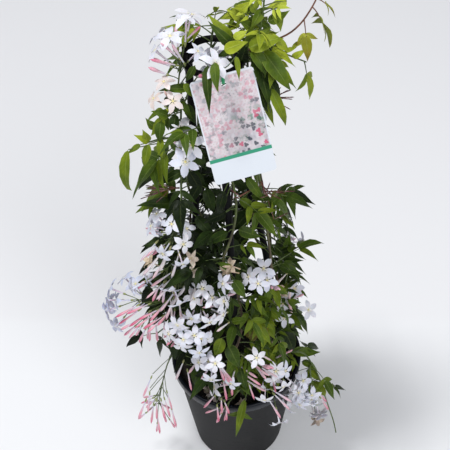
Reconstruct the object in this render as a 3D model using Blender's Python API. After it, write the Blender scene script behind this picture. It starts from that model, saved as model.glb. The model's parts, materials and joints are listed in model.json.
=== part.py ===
"""A climbing jasmine in a nursery pot, with three stakes, a top ring, a hang label, leafy stems and sprays.

Lengths are in millimetres until add_object scales them to metres. Z is up, -Y is the front, and the origin
is the middle of the pot's base.
"""

import math
import random

import bpy
from mathutils import Euler, Vector
from mathutils.bvhtree import BVHTree

MM = 0.001
GAP = 0.3  # between pieces that touch

# Pot
POT_HEIGHT = 155.0
POT_SIDES = 40
RIM_RADIUS = 75.0
BASE_RADIUS = 54.0
LIP_HEIGHT = 12.0
LIP_DEPTH = 4.2
WALL = 1.9
BASE_WALL = 2.6  # at the foot of the wall
FLOOR = 2.5
EDGE = 2.5  # rise of the bevel round the base
DRAIN_COUNT = 6
DRAIN_RADIUS = 4.5
DRAIN_CIRCLE = 38.0

# Potting mix
SOIL_TOP = 130.0
SOIL_SIDES = 20
SOIL_BUMP = 1.8
SOIL_HEAP = ((46, 1.5), (22, 2.5), (0, 3.0))  # radius and rise over the edge

# Support
STAKE_RADIUS = 3.5
STAKE_END = 64.0
RING_CENTRE = Vector((-10.0, 0.0, 588.0))
RING_RADIUS = 25.0
RING_THICK = 3.0
RING_SIDES = 24
SOCKET_RADIUS = 5.1
SOCKET_BOTTOM = 575.0
SOCKET_TOP = 590.0
SOCKET_DEPTH = 12.0
STAKE_TOP = SOCKET_BOTTOM + SOCKET_DEPTH - GAP

# Label and its tie
LABEL_WIDTH = 54.0
LABEL_LENGTH = 92.0
LABEL_THICK = 0.7
LABEL_CORNER = 3.0
HOLE_RADIUS = 2.4
HOLE_BELOW_EDGE = 8.0
HOLE_PLACE = Vector((-2.8, -34.5, 587.2))
LABEL_ROLL = 8.5
LABEL_LEAN = 26.0
LABEL_TURN = 6.5
TIE_WIDTH = 2.8
TIE_THICK = 1.0

# Plant
LEAF_THICK = 0.7
RIB_HALF = 0.8
TERMINAL_START = 0.58  # share of a leaf's length at which its last leaflet begins
TERMINAL_WIDEST = 0.75
TERMINAL_HALF = 0.09  # half width of the last leaflet, as a share of the leaf's length
SINGLE_START = 0.35  # the same for a leaf of one leaflet
SINGLE_WIDEST = 0.6
SIDE_LENGTH = 0.29
SIDE_HALF = 0.2  # half width of a side leaflet, as a share of its own length
SIDE_ANGLE = math.radians(56)
SIDE_DROOP = math.radians(38)
PAIR_PLACES = {1: (0.42,), 2: (0.34, 0.49), 3: (0.28, 0.39, 0.5)}
PETAL_REACH = 11.2
PETAL_SPREAD = math.radians(15)
NOTCH_RADIUS = 2.3
PETAL_THICK = 1.3  # at the throat; a lobe thins to its end
PETAL_FALL = 1.0  # of a lobe's end below the throat
THROAT_DEPTH = 0.6
TUBE_END = 0.42
BUD_RADIUS = 1.7
BUD_WIDEST = 0.8
BUD_SIDES = 3
STALK_RADIUS = 0.9
BLOOM_REACH = 28.0  # the best distance of a bloom from its fork
BUD_REACH = 22.0
FORK_SPREAD = 7.0
STALK_SIDES = 3
STEM_SIDES = 4
AXIL_HALF = 1.4  # of the stretch of midrib that carries a pair of leaflets
ARCH = 0.2  # rise of a leaf's midrib, as a share of its length
ARCH_PLACES = (0.34, 0.74)
STEM_DEPTH = 36.0  # of a stem's foot in the mix
STEM_STEP = 22.0
SHOOT_STEP = 12.0
MARGIN = 0.4  # that each piece of the plant keeps, and so twice that between two
ROOM = 0.8  # that the plant keeps from the pot, the support and the label
LEAF_STALK = 0.16  # share of a leaf that may touch its own stem
ORGAN_STALK = 0.3  # the same for a bloom or a bud and its stalk
ATTEMPTS = 16
TWINE_START = 168.0
TWINE_RADIUS = 8.0

# Colour and roughness; leaf_green and flower_white are the usual ones
PLANT_FINISHES = {
    "leaf_green": ((0.075, 0.17, 0.03), 0.42),
    "leaf_bright": ((0.16, 0.30, 0.035), 0.42),
    "leaf_dark": ((0.03, 0.085, 0.022), 0.4),
    "leaf_bronze": ((0.16, 0.09, 0.035), 0.45),
    "flower_white": ((0.78, 0.72, 0.70), 0.5),
    "flower_faded": ((0.70, 0.52, 0.40), 0.6),
    "bud_pink": ((0.66, 0.27, 0.32), 0.48),
    "bud_maroon": ((0.13, 0.03, 0.035), 0.48),
}

STAKES = {
    "stake_front": [(-10, -25, 560), (-3, -40, 446), (-2, -46, 370), (-1, -53, 266), (-1, -54, 160)],
    "stake_right": [(11.6, 12.5, 560), (19, 16, 415), (33, 20, 325), (44, 22, 225), (49, 22, 160)],
    "stake_left": [(-31.6, 12.5, 560), (-33, 15, 430), (-40, 19, 310), (-47, 22, 215), (-49, 22, 160)],
}

# Each stem stands in a hole in the mix or starts beside another stem. It twines round a stake or goes by
# way of the places given. A leaf is given by where it leaves the stem, its tip and its pairs of leaflets.
STEMS = [
    {
        "name": "vine_front", "hole": (2, -43),
        "stake": "stake_front", "turns": 2.6, "phase": 1.57, "top": 590,
        "thick": (1.6, 1.1), "rule_leaves": 5, "seed": 11,
        "leaves": [((-4, -46, 400), (31, -58, 404), 2), ((-3, -50, 320), (34, -66, 306), 2)],
    },
    {
        "name": "vine_right", "hole": (39, 17),
        "stake": "stake_right", "turns": 2.4, "phase": 3.4, "top": 592,
        "thick": (1.6, 1.1), "rule_leaves": 0, "seed": 12,
        "leaves": [
            ((24, 16, 405), (82, 8, 385), 2),
            ((40, 22, 300), (78, 2, 288), 1),
            ((48, 22, 230), (82, -2, 186), 2),
            ((49, 22, 251), (84, 14, 232), 2),
            ((22, 11, 373), (-18, 35, 358), 2),
        ],
    },
    {
        "name": "vine_left", "hole": (-39, 17),
        "stake": "stake_left", "turns": 2.4, "phase": 5.8, "top": 560,
        "thick": (1.6, 1.0), "rule_leaves": 5, "seed": 13,
        "leaves": [((-34, 14, 470), (-80, 20, 452), 2)],
    },
    {
        "name": "vine_mid_left", "hole": (-17, -20),
        "via": [
            (-34, -27, 190), (-46, -32, 260), (-50, -32, 330), (-47, -26, 420), (-43, -20, 500),
            (-38, -13, 572),
        ],
        "thick": (1.6, 1.0), "rule_leaves": 2, "seed": 14,
        "leaves": [
            ((-43, -18, 508), (-91, -30, 450), 3),
            ((-40, -15, 548), (-70, -20, 536), 2),
            ((-47, -24, 440), (-92, -22, 424), 2),
            ((-49, -28, 392), (-92, -34, 376), 2),
        ],
    },
    {
        "name": "vine_mid_right", "hole": (18, -18),
        "via": [
            (32, -28, 190), (40, -32, 270), (37, -30, 360), (28, -22, 450), (20, -14, 530), (18, -6, 606),
        ],
        "thick": (1.6, 1.0), "rule_leaves": 0, "seed": 15,
        "leaves": [
            ((18, -8, 596), (58, -18, 556), 2),
            ((19, -12, 572), (39, -24, 528), 1),
            ((19, -11, 580), (53, -14, 517), 2),
            ((18, -7, 602), (-14, -12, 626), 2),
            ((18, -6, 606), (46, -14, 614), 2),
            ((38, -30, 345), (94, -4, 345), 2),
            ((40, -32, 272), (26, -66, 248), 2),
            ((28, -22, 450), (56, -28, 404), 2),
            ((20, -14, 530), (21, -67, 505), 2),
        ],
    },
    {
        "name": "vine_back", "hole": (0, 20),
        "via": [(6, 36, 210), (-5, 42, 300), (3, 36, 400), (-6, 30, 490), (-12, 24, 570), (-8, 14, 612)],
        "thick": (1.6, 1.0), "rule_leaves": 6, "seed": 16,
        "leaves": [((-8, 16, 608), (-4, -6, 640), 2)],
    },
    {
        "name": "vine_back_left", "hole": (-24, 18),
        "via": [(-42, 38, 210), (-46, 44, 300), (-36, 40, 400), (-28, 32, 480), (-26, 28, 530)],
        "thick": (1.5, 0.9), "rule_leaves": 5, "seed": 17, "leaves": [],
    },
    {
        "name": "vine_back_right", "hole": (24, 18),
        "via": [(42, 38, 210), (42, 44, 300), (32, 40, 400), (22, 34, 480), (20, 26, 550)],
        "thick": (1.5, 0.9), "rule_leaves": 0, "seed": 18,
        "leaves": [
            ((44, 42, 250), (84, 20, 242), 2),
            ((42, 44, 294), (16, 104, 295), 2),
            ((34, 41, 383), (86, 19, 379), 2),
            ((28, 38, 428), (24, 102, 429), 2),
            ((21, 30, 517), (44, 64, 494), 2),
        ],
    },
    {
        "name": "shoot_crown", "finish": "leaf_bright", "beside": ("vine_mid_right", (18, -8, 592)),
        "via": [(28, -1, 608), (32, 3, 630), (34, 5, 652)],
        "thick": (1.0, 0.7), "rule_leaves": 0, "seed": 19,
        "leaves": [
            ((26, 0, 616), (3, 2, 635), 2),
            ((29, 2, 627), (55, -4, 636), 2),
            ((32, 4, 640), (12, 12, 655), 1),
            ((34, 5, 652), (52, 8, 660), 1),
        ],
    },
    {
        "name": "shoot_young", "finish": "leaf_bronze", "beside": ("vine_right", (12, 6, 590)),
        "via": [(36, 1, 600), (50, 0, 606), (64, 0, 620), (74, 0, 640), (78, 0, 654)],
        "thick": (1.0, 0.6), "rule_leaves": 0, "seed": 20,
        "leaves": [
            ((72, 0, 634), (88, 2, 590), 2),
            ((66, 0, 622), (59, -4, 594), 1),
            ((75, 0, 642), (91, 0, 622), 1),
        ],
    },
    {
        "name": "shoot_hanging", "finish": "leaf_bright", "beside": ("vine_mid_right", (18, -8, 594)),
        "via": [(38, -7, 598), (54, -6, 590), (68, -5, 582)],
        "thick": (0.9, 0.6), "rule_leaves": 0, "seed": 21,
        "leaves": [((66, -5, 583), (69, -12, 543), 1), ((50, -6, 592), (72, 4, 596), 0)],
    },
    {
        "name": "shoot_low_left", "finish": "leaf_dark", "beside": ("vine_mid_left", (-45, -31, 252)),
        "via": [(-60, -34, 262), (-74, -36, 258), (-84, -36, 248)],
        "thick": (1.0, 0.7), "rule_leaves": 0, "seed": 22,
        "leaves": [
            ((-84, -36, 248), (-120, -34, 222), 1),
            ((-76, -36, 257), (-82, -44, 212), 1),
            ((-64, -35, 262), (-66, -52, 220), 0),
        ],
    },
    {
        "name": "shoot_trailing", "hole": (28, -4),
        "via": [
            (50, -12, 165), (74, -16, 172), (92, -22, 138), (104, -26, 90), (116, -30, 40), (120, -31, 16),
        ],
        "thick": (1.2, 0.7), "rule_leaves": 0, "seed": 23,
        "leaves": [
            ((66, -15, 173), (98, 12, 136), 1),
            ((88, -20, 146), (112, -44, 112), 1),
            ((100, -25, 106), (130, -14, 84), 1),
            ((54, -13, 168), (66, -32, 176), 0),
        ],
    },
    {
        "name": "shoot_low_front", "finish": "leaf_bright", "hole": (10, -26),
        "via": [(12, -40, 158), (12, -56, 174), (9, -68, 178), (7, -76, 172)],
        "thick": (1.1, 0.7), "rule_leaves": 0, "seed": 24,
        "leaves": [((7, -74, 172), (-5, -96, 128), 1), ((12, -56, 174), (40, -70, 178), 1)],
    },
]

# A spray leaves its stem near the first place, and its stalk goes by way of the others. Blooms and buds are
# given by where their middle or tip lies.
SPRAYS = [
    {
        "name": "spray_top_left", "stem": "vine_mid_left", "near": (-38, -13, 566),
        "via": [(-38, -13, 590)],
        "blooms": [(-26, -2, 634), (-44, -16, 624), (-58, -8, 604), (-22, -22, 612)],
        "buds": [(-64, -20, 596), (-40, 8, 616)],
    },
    {
        "name": "spray_ring", "stem": "vine_mid_left", "near": (-39, -15, 556),
        "via": [(-30, -24, 576), (-24, -28, 590)],
        "blooms": [(-8, -42, 614)], "buds": [(-20, -46, 606)],
    },
    {
        "name": "spray_faded", "finish": "flower_faded", "stem": "vine_mid_left", "near": (-41, -17, 535),
        "via": [(-46, -22, 552)],
        "blooms": [(-45, -38, 574), (-62, -24, 566)], "buds": [],
    },
    {
        "name": "spray_left_high", "stem": "vine_mid_left", "near": (-43, -20, 492),
        "via": [(-36, -30, 506)],
        "blooms": [(-40, -38, 543), (-33, -52, 537), (-38, -54, 519)],
        "buds": [(-37, -42, 528)],
    },
    {
        "name": "spray_left_mid", "stem": "vine_mid_left", "near": (-47, -26, 410),
        "via": [(-56, -36, 402)],
        "blooms": [(-76, -40, 424), (-56, -46, 432), (-46, -56, 414), (-66, -60, 406), (-48, -62, 392)],
        "buds": [(-78, -44, 386), (-72, -50, 370)],
    },
    {
        "name": "spray_left_hanging", "stem": "vine_mid_left", "near": (-49, -30, 368),
        "via": [(-66, -42, 362)],
        "blooms": [(-84, -46, 350), (-62, -62, 352)],
        "buds": [(-92, -44, 336), (-84, -54, 326), (-72, -58, 328), (-60, -58, 326)],
    },
    {
        "name": "spray_side_left", "stem": "vine_mid_left", "near": (-50, -32, 322),
        "via": [(-76, -34, 316), (-98, -32, 302)],
        "blooms": [(-128, -24, 314), (-112, -20, 326), (-134, -30, 284), (-126, -34, 262)],
        "buds": [(-112, -48, 300)],
    },
    {
        "name": "spray_pink_left", "finish": "bud_pink", "stem": "vine_mid_left", "near": (-50, -32, 304),
        "via": [(-70, -38, 304), (-88, -44, 294)],
        "blooms": [],
        "buds": [
            (-120, -50, 276), (-112, -54, 266), (-102, -56, 260), (-92, -58, 262), (-82, -60, 266),
            (-74, -62, 276), (-106, -44, 256), (-64, -60, 288),
        ],
    },
    {
        "name": "spray_white_upper", "stem": "vine_mid_left", "near": (-50, -32, 314),
        "via": [(-44, -48, 316), (-36, -56, 324)],
        "blooms": [(-40, -62, 340), (-22, -66, 344), (-44, -74, 322), (-26, -80, 322), (-12, -74, 326)],
        "buds": [(-8, -64, 342)],
    },
    {
        "name": "spray_white_left", "stem": "vine_mid_left", "near": (-47, -32, 270),
        "via": [(-46, -48, 282)],
        "blooms": [(-60, -68, 306), (-42, -80, 302), (-56, -80, 284), (-38, -86, 280)],
        "buds": [(-70, -64, 284), (-68, -72, 272)],
    },
    {
        "name": "spray_white_lower", "stem": "vine_mid_left", "near": (-41, -30, 228),
        "via": [(-32, -52, 242), (-22, -72, 248)],
        "blooms": [(-40, -84, 260), (-24, -90, 264), (-28, -94, 242)],
        "buds": [(-36, -84, 238), (-14, -90, 232)],
    },
    {
        "name": "spray_centre_right", "stem": "vine_mid_right", "near": (38, -31, 330),
        "via": [(30, -42, 342)],
        "blooms": [(14, -58, 364), (32, -60, 360), (-2, -62, 372)],
        "buds": [(42, -62, 346)],
    },
    {
        "name": "spray_right", "stem": "vine_right", "near": (48, 16, 214),
        "via": [(54, 0, 228), (58, -8, 238)],
        "blooms": [(53, -26, 252), (81, -6, 238), (66, 4, 264), (52, -16, 264)],
        "buds": [(74, 10, 254), (61, -14, 259)],
    },
    {
        "name": "spray_front_star", "stem": "vine_front", "near": (6, -54, 222), "via": [(12, -62, 232)],
        "blooms": [(20, -80, 258), (-8, -88, 224)],
        "buds": [(34, -84, 242), (30, -86, 226)],
    },
    {
        "name": "spray_front_right", "stem": "vine_mid_right", "near": (30, -27, 182),
        "via": [(36, -44, 198)],
        "blooms": [(52, -66, 210), (60, -72, 178), (28, -84, 182), (44, -94, 150), (66, -58, 166)],
        "buds": [(54, -50, 222), (40, -84, 196)],
    },
    {
        "name": "spray_trailing", "stem": "shoot_trailing", "near": (84, -20, 152), "via": [(84, -38, 140)],
        "blooms": [(84, -60, 130), (94, -54, 96), (70, -60, 140)],
        "buds": [(104, -56, 110)],
    },
    {
        "name": "spray_front_small", "stem": "shoot_low_front", "near": (12, -46, 164),
        "via": [(4, -62, 190), (-8, -72, 196)],
        "blooms": [(-26, -80, 206)],
        "buds": [(-42, -66, 208), (-14, -80, 212)],
    },
    {
        "name": "spray_buds_left", "finish": "bud_pink", "stem": "vine_mid_left", "near": (-36, -28, 204),
        "via": [(-58, -26, 206), (-74, -30, 192), (-85, -32, 152), (-94, -32, 104)],
        "blooms": [],
        "buds": [
            (-122, -30, 66), (-101, -36, 44), (-87, -40, 72), (-78, -36, 52), (-108, -26, 78),
            (-115, -32, 104), (-82, -28, 84), (-112, -24, 92),
        ],
    },
    {
        "name": "spray_buds_front", "finish": "bud_pink", "stem": "shoot_low_front", "near": (11, -62, 178),
        "via": [(0, -72, 184), (-14, -82, 172)],
        "blooms": [],
        "buds": [(-38, -82, 158), (-26, -84, 140), (-17, -86, 146), (-8, -86, 146)],
    },
    {
        "name": "spray_dark_left", "finish": "bud_maroon", "stem": "vine_mid_left", "near": (-45, -23, 456),
        "via": [(-58, -24, 455)],
        "blooms": [], "buds": [(-78, -26, 462), (-80, -24, 448), (-72, -32, 444)],
    },
    {
        "name": "spray_dark_right", "finish": "bud_maroon", "stem": "vine_mid_right", "near": (27, -21, 458),
        "via": [(32, -30, 452), (36, -34, 448)],
        "blooms": [],
        "buds": [(34, -46, 470), (46, -40, 468), (50, -36, 456), (26, -46, 462)],
    },
    {
        "name": "spray_dark_top", "finish": "bud_maroon", "stem": "vine_mid_right", "near": (19, -12, 560),
        "via": [(34, -12, 552), (42, -12, 550)],
        "blooms": [], "buds": [(55, -14, 560), (58, -12, 550), (56, -14, 540)],
    },
    {
        "name": "spray_back_high", "stem": "vine_back", "near": (-8, 28, 510), "via": [(-8, 44, 522)],
        "blooms": [(-20, 62, 544), (4, 66, 538)], "buds": [(-8, 70, 520)],
    },
    {
        "name": "spray_back_mid", "stem": "vine_back", "near": (2, 37, 385), "via": [(8, 54, 392)],
        "blooms": [(-6, 78, 408), (20, 76, 402), (8, 84, 384)], "buds": [(26, 76, 380), (-4, 78, 372)],
    },
    {
        "name": "spray_back_left", "stem": "vine_back_left", "near": (-45, 44, 290),
        "via": [(-58, 56, 300)],
        "blooms": [(-78, 70, 316), (-58, 82, 316), (-78, 76, 292)],
        "buds": [(-62, 84, 286), (-92, 62, 300)],
    },
    {
        "name": "spray_back_right", "stem": "vine_back_right", "near": (43, 44, 280),
        "via": [(52, 58, 288)],
        "blooms": [(58, 76, 302), (40, 86, 304), (64, 66, 280)], "buds": [(46, 84, 274), (70, 58, 272)],
    },
    {
        "name": "spray_side_right", "stem": "vine_back_right", "near": (24, 36, 462),
        "via": [(28, 50, 464)],
        "blooms": [(36, 70, 462), (18, 74, 456)],
        "buds": [(28, 76, 440)],
    },
    {
        "name": "spray_back_low", "stem": "vine_back", "near": (6, 34, 190), "via": [(4, 54, 196)],
        "blooms": [(18, 78, 208), (-12, 80, 204)], "buds": [(2, 88, 184), (-26, 72, 190)],
    },
]


def clear_scene():
    for thing in list(bpy.data.objects):
        bpy.data.objects.remove(thing)


def finish(name, colour, roughness, metallic=0.0):
    """A material with one colour, named after what it covers."""
    material = bpy.data.materials.new(name)
    material.use_nodes = True
    shader = material.node_tree.nodes["Principled BSDF"]
    shader.inputs["Base Color"].default_value = (*colour, 1.0)
    shader.inputs["Roughness"].default_value = roughness
    shader.inputs["Metallic"].default_value = metallic
    material.diffuse_color = (*colour, 1.0)
    return material


def outward(points, faces):
    """The closed mesh with its faces turned to point out."""
    volume = 0.0
    for face in faces:
        for n in range(1, len(face) - 1):
            volume += points[face[0]].dot(points[face[n]].cross(points[face[n + 1]]))
    return points, (faces if volume > 0 else [tuple(reversed(face)) for face in faces])


def add_object(name, mesh, material):
    points, faces = mesh
    data = bpy.data.meshes.new(name)
    data.from_pydata([point * MM for point in points], [], faces)
    data.materials.append(material)
    thing = bpy.data.objects.new(name, data)
    bpy.context.scene.collection.objects.link(thing)
    return thing


def cut(thing, name, mesh, operation="DIFFERENCE"):
    """Adds a Boolean with a hidden helper. The exact solver leaves open edges on these turned solids."""
    helper = add_object(name, mesh, thing.data.materials[0])
    helper.hide_render = True
    helper.display_type = "WIRE"
    helper.parent = thing
    modifier = thing.modifiers.new(name, "BOOLEAN")
    modifier.operation = operation
    modifier.object = helper
    modifier.solver = "MANIFOLD"


def joined(name, meshes, material):
    """One object from closed meshes that overlap, as a single solid."""
    thing = add_object(name, meshes[0], material)
    if len(meshes) == 1:
        return thing
    group = bpy.data.collections.new(name + "_pieces")
    bpy.context.scene.collection.children.link(group)
    pieces = []
    for mesh in meshes[1:]:
        piece = add_object(name + "_piece", mesh, material)
        bpy.context.scene.collection.objects.unlink(piece)
        group.objects.link(piece)
        pieces.append(piece)
    modifier = thing.modifiers.new("union", "BOOLEAN")
    modifier.operation = "UNION"
    modifier.operand_type = "COLLECTION"
    modifier.collection = group
    modifier.solver = "MANIFOLD"
    graph = bpy.context.evaluated_depsgraph_get()
    whole = bpy.data.meshes.new_from_object(thing.evaluated_get(graph))
    thing.modifiers.clear()
    thing.data = whole
    for piece in pieces:
        bpy.data.objects.remove(piece)
    bpy.data.collections.remove(group)
    return thing


def smooth(controls, count):
    """count + 1 points, evenly spread along a smooth curve through the control points."""
    controls = [Vector(point) for point in controls]
    ends = [controls[0] * 2 - controls[1], *controls, controls[-1] * 2 - controls[-2]]
    fine = []
    for a, b, c, d in zip(ends, ends[1:], ends[2:], ends[3:]):
        for n in range(12):
            t = n / 12
            cubic = (b * 3 - a - c * 3 + d) * t**3
            fine.append((b * 2 + (c - a) * t + (a * 2 - b * 5 + c * 4 - d) * t**2 + cubic) * 0.5)
    fine.append(controls[-1])
    reached = [0.0]
    for a, b in zip(fine, fine[1:]):
        reached.append(reached[-1] + (b - a).length)
    spread, k = [], 0
    for n in range(count + 1):
        want = reached[-1] * n / count
        while k < len(fine) - 2 and reached[k + 1] < want:
            k += 1
        share = (want - reached[k]) / max(reached[k + 1] - reached[k], 1e-6)
        spread.append(fine[k].lerp(fine[k + 1], min(share, 1.0)))
    return spread


def revolve(profile, sides):
    """A closed solid turned from (radius, height) points that start and end on the axis."""
    points, faces, rings = [], [], []
    for radius, height in profile:
        count = sides if radius else 1
        rings.append([len(points) + n for n in range(count)])
        for n in range(count):
            angle = math.tau * n / sides
            points.append(Vector((radius * math.cos(angle), radius * math.sin(angle), height)))
    for low, high in zip(rings, rings[1:]):
        for n in range(sides):
            m = (n + 1) % sides
            corners = [low[n % len(low)], low[m % len(low)], high[m % len(high)], high[n % len(high)]]
            faces.append(tuple(dict.fromkeys(corners)))
    return outward(points, faces)


def tube(path, radii, sides):
    """A closed tube along the path, with one radius for each of its points."""
    points, faces, side = [], [], None
    for n, place in enumerate(path):
        along = (path[min(n + 1, len(path) - 1)] - path[max(n - 1, 0)]).normalized()
        side = along.orthogonal() if side is None else side
        side = (side - along * side.dot(along)).normalized()
        up = along.cross(side)
        for k in range(sides):
            angle = math.tau * k / sides
            points.append(place + (side * math.cos(angle) + up * math.sin(angle)) * radii[n])
    for n in range(len(path) - 1):
        for k in range(sides):
            m = (k + 1) % sides
            faces.append((n * sides + k, n * sides + m, (n + 1) * sides + m, (n + 1) * sides + k))
    last = (len(path) - 1) * sides
    faces.append(tuple(reversed(range(sides))))
    faces.append(tuple(range(last, last + sides)))
    return outward(points, faces)


def upright(x, y, bottom, top, radius, sides):
    """A closed upright cylinder whose flats lie at the radius."""
    corner_radius = radius / math.cos(math.pi / sides)
    return tube([Vector((x, y, bottom)), Vector((x, y, top))], [corner_radius] * 2, sides)


def plate(points, normals, triangles, thick, tips):
    """A closed blade: the surface moved half its thickness to each side. Its walls end in its tips."""
    both, under = [], []
    for n, (point, normal) in enumerate(zip(points, normals)):
        both.append(point if n in tips else point + normal * (thick / 2))
    for n, (point, normal) in enumerate(zip(points, normals)):
        under.append(n if n in tips else len(both))
        if n not in tips:
            both.append(point - normal * (thick / 2))
    faces, edges = [], set()
    for a, b, c in triangles:
        facing = (points[b] - points[a]).cross(points[c] - points[a])
        if facing.dot(normals[a] + normals[b] + normals[c]) < 0:
            b, c = c, b
        faces += [(a, b, c), (under[a], under[c], under[b])]
        edges |= {(a, b), (b, c), (c, a)}
    for a, b in sorted(edges):
        if (b, a) not in edges:
            wall = tuple(dict.fromkeys((b, a, under[a], under[b])))
            faces += [wall] if len(wall) == 3 else [wall[:3], (wall[0], *wall[2:])]
    return outward(both, faces)


def leaf_frame(leaf, t):
    """Place, direction, side and upper normal at a share t of the leaf's arched midrib."""
    a, b, c, d = leaf["rib"]
    s = 1 - t
    place = a * s**3 + b * (3 * s * s * t) + c * (3 * s * t * t) + d * t**3
    along = ((b - a) * (s * s) + (c - b) * (2 * s * t) + (d - c) * (t * t)).normalized()
    flat = leaf["side"]
    normal = flat.cross(along).normalized()
    side = flat * math.cos(leaf["roll"]) + normal * math.sin(leaf["roll"])
    return place, along, side, along.cross(side) * -1


def make_leaf(base, tip, pairs, roll=0.0):
    reach = tip - base
    length = reach.length
    heading = Vector((reach.x, reach.y, 0))
    if heading.length < 0.25 * length:
        heading = heading.normalized() + Vector((base.x, base.y, 0)).normalized() * 0.8
    heading.normalize()
    lift = Vector((0, 0, ARCH * length))
    plane = heading.cross(Vector((0, 0, 1)))
    reach_flat = reach - plane * reach.dot(plane)
    first, second = (base + reach_flat * share + lift for share in ARCH_PLACES)
    rib = (base, first, second, base + reach_flat)
    return {"rib": rib, "side": plane, "roll": roll, "length": length, "pairs": pairs}


def leaf_blade(leaf, grow=0.0, root=0.0):
    """The leaf's outline with its leaflets cut to the rib, as one thin blade."""
    length = leaf["length"]
    half_step = AXIL_HALF / length
    rib_half = RIB_HALF + grow
    points, normals, triangles, tips = [], [], [], set()

    def station(t, half):
        place, _, side, normal = leaf_frame(leaf, t)
        points.extend([place - side * half, place + side * half])
        normals.extend([normal, normal])
        return len(points) - 2

    def strip(low, high):
        triangles.extend([(low, low + 1, high + 1), (low, high + 1, high)])

    at = station(root, rib_half)
    for t in PAIR_PLACES.get(leaf["pairs"], ()):
        low = station(t - half_step, rib_half)
        high = station(t + half_step, rib_half)
        strip(at, low)
        strip(low, high)
        at = high
        place, along, side, normal = leaf_frame(leaf, t)
        reach = length * SIDE_LENGTH * (0.8 + 0.5 * t) + grow
        for sign, edge in ((-1, 0), (1, 1)):
            out = along * math.cos(SIDE_ANGLE) + side * (sign * math.sin(SIDE_ANGLE))
            across = along * math.sin(SIDE_ANGLE) - side * (sign * math.cos(SIDE_ANGLE))
            start = place + side * (sign * rib_half)
            first = len(points)
            for share, half in ((0.42, reach * SIDE_HALF + grow), (1.0, 0.0)):
                bend = SIDE_DROOP * share
                bent = out * math.sin(bend) - normal * (1 - math.cos(bend))
                middle = start + bent * (reach / SIDE_DROOP)
                turned = normal * math.cos(bend) + out * math.sin(bend)
                for offset in (-half, half) if half else (0.0,):
                    points.append(middle + across * offset)
                    normals.append(turned)
            tips.add(first + 2)
            triangles.extend([
                (low + edge, first, first + 2),
                (low + edge, first + 2, high + edge),
                (first + 2, first + 1, high + edge),
            ])
    start = station(TERMINAL_START if leaf["pairs"] else SINGLE_START, rib_half)
    widest = station(TERMINAL_WIDEST if leaf["pairs"] else SINGLE_WIDEST, length * TERMINAL_HALF + grow)
    strip(at, start)
    strip(start, widest)
    place, _, _, normal = leaf_frame(leaf, 1.0)
    tips.add(len(points))
    triangles.append((widest, widest + 1, len(points)))
    points.append(place)
    normals.append(normal)
    return plate(points, normals, triangles, LEAF_THICK + 2 * grow, tips)


def bloom_solid(base, centre, turn, grow=0.0, root=0.0):
    """A five-lobed flower: flat lobes round the throat, and a tube that narrows to its stalk."""
    axis = (centre - base).normalized()
    side = axis.orthogonal().normalized()
    up = axis.cross(side)
    thick = PETAL_THICK + 2 * grow

    def around(angle, radius, rise):
        return centre + (side * math.cos(angle) + up * math.sin(angle)) * radius + axis * rise

    foot = base.lerp(centre, root)
    points, faces = [centre - axis * THROAT_DEPTH], []
    for k in range(5):
        lobe = turn + math.tau * k / 5
        notch = lobe - math.tau / 10
        points.append(around(notch, NOTCH_RADIUS + grow, grow))
        points.append(around(lobe - PETAL_SPREAD, PETAL_REACH + grow, -PETAL_FALL))
        points.append(around(lobe + PETAL_SPREAD, PETAL_REACH + grow, -PETAL_FALL))
        points.append(around(notch, NOTCH_RADIUS + grow, grow - thick))
        points.append(foot + (side * math.cos(notch) + up * math.sin(notch)) * (TUBE_END + grow))
    for k in range(5):
        notch, near, far, back, end = range(1 + 5 * k, 6 + 5 * k)
        next_notch, _, _, next_back, next_end = range(1 + 5 * ((k + 1) % 5), 6 + 5 * ((k + 1) % 5))
        faces += [(0, notch, next_notch), (notch, near, next_notch), (near, far, next_notch)]
        faces += [(back, next_back, near), (near, next_back, far)]
        faces += [(near, notch, back), (next_notch, far, next_back)]
        faces.append((back, end, next_end, next_back))
    faces.append(tuple(5 + 5 * k for k in reversed(range(5))))
    return outward(points, faces)


def bud_solid(base, tip, grow=0.0, root=0.0):
    """A closed bud: a thin stalk that swells and ends in a point."""
    axis = (tip - base).normalized()
    side = axis.orthogonal().normalized()
    up = axis.cross(side)
    points, faces = [], []
    count = BUD_SIDES
    for share, radius in ((root, TUBE_END + grow), (BUD_WIDEST, BUD_RADIUS + grow)):
        for k in range(count):
            angle = math.tau * k / count
            points.append(base.lerp(tip, share) + (side * math.cos(angle) + up * math.sin(angle)) * radius)
    points.append(tip + axis * grow)
    for k in range(count):
        m = (k + 1) % count
        faces += [(k, m, m + count, k + count), (k + count, m + count, 2 * count)]
    faces.append(tuple(reversed(range(count))))
    return outward(points, faces)


class Clearance:
    """What has been laid so far, a little larger than it is, so that the next piece keeps clear of it."""

    def __init__(self):
        self.laid = []

    def add(self, owner, mesh):
        points, faces = mesh
        self.laid.append((owner, self.box(points), BVHTree.FromPolygons(points, faces)))

    def box(self, points):
        return [(min(p[k] for p in points), max(p[k] for p in points)) for k in range(3)]

    def meets(self, mesh, without=None, only=None):
        """Whether the mesh meets what was laid, without one owner's pieces or only one owner's."""
        points, faces = mesh
        box, tree = self.box(points), None
        for owner, other, other_tree in self.laid:
            if owner == without or (only is not None and owner != only):
                continue
            if any(low > most or high < least for (low, high), (least, most) in zip(box, other)):
                continue
            tree = tree or BVHTree.FromPolygons(points, faces)
            if tree.overlap(other_tree):
                return True
        return False


def stake_line(name):
    """The stake from its top, in the ring's socket, to its end in the mix."""
    places = STAKES[name]
    top, foot = places[0], places[-1]
    below_socket = (top[0], top[1], SOCKET_BOTTOM - 2)
    above_soil = (foot[0], foot[1], SOIL_TOP + 12)
    bowed = smooth([below_socket, *places[1:], above_soil], 9)
    return [Vector((top[0], top[1], STAKE_TOP)), *bowed, Vector((foot[0], foot[1], STAKE_END))]


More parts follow.
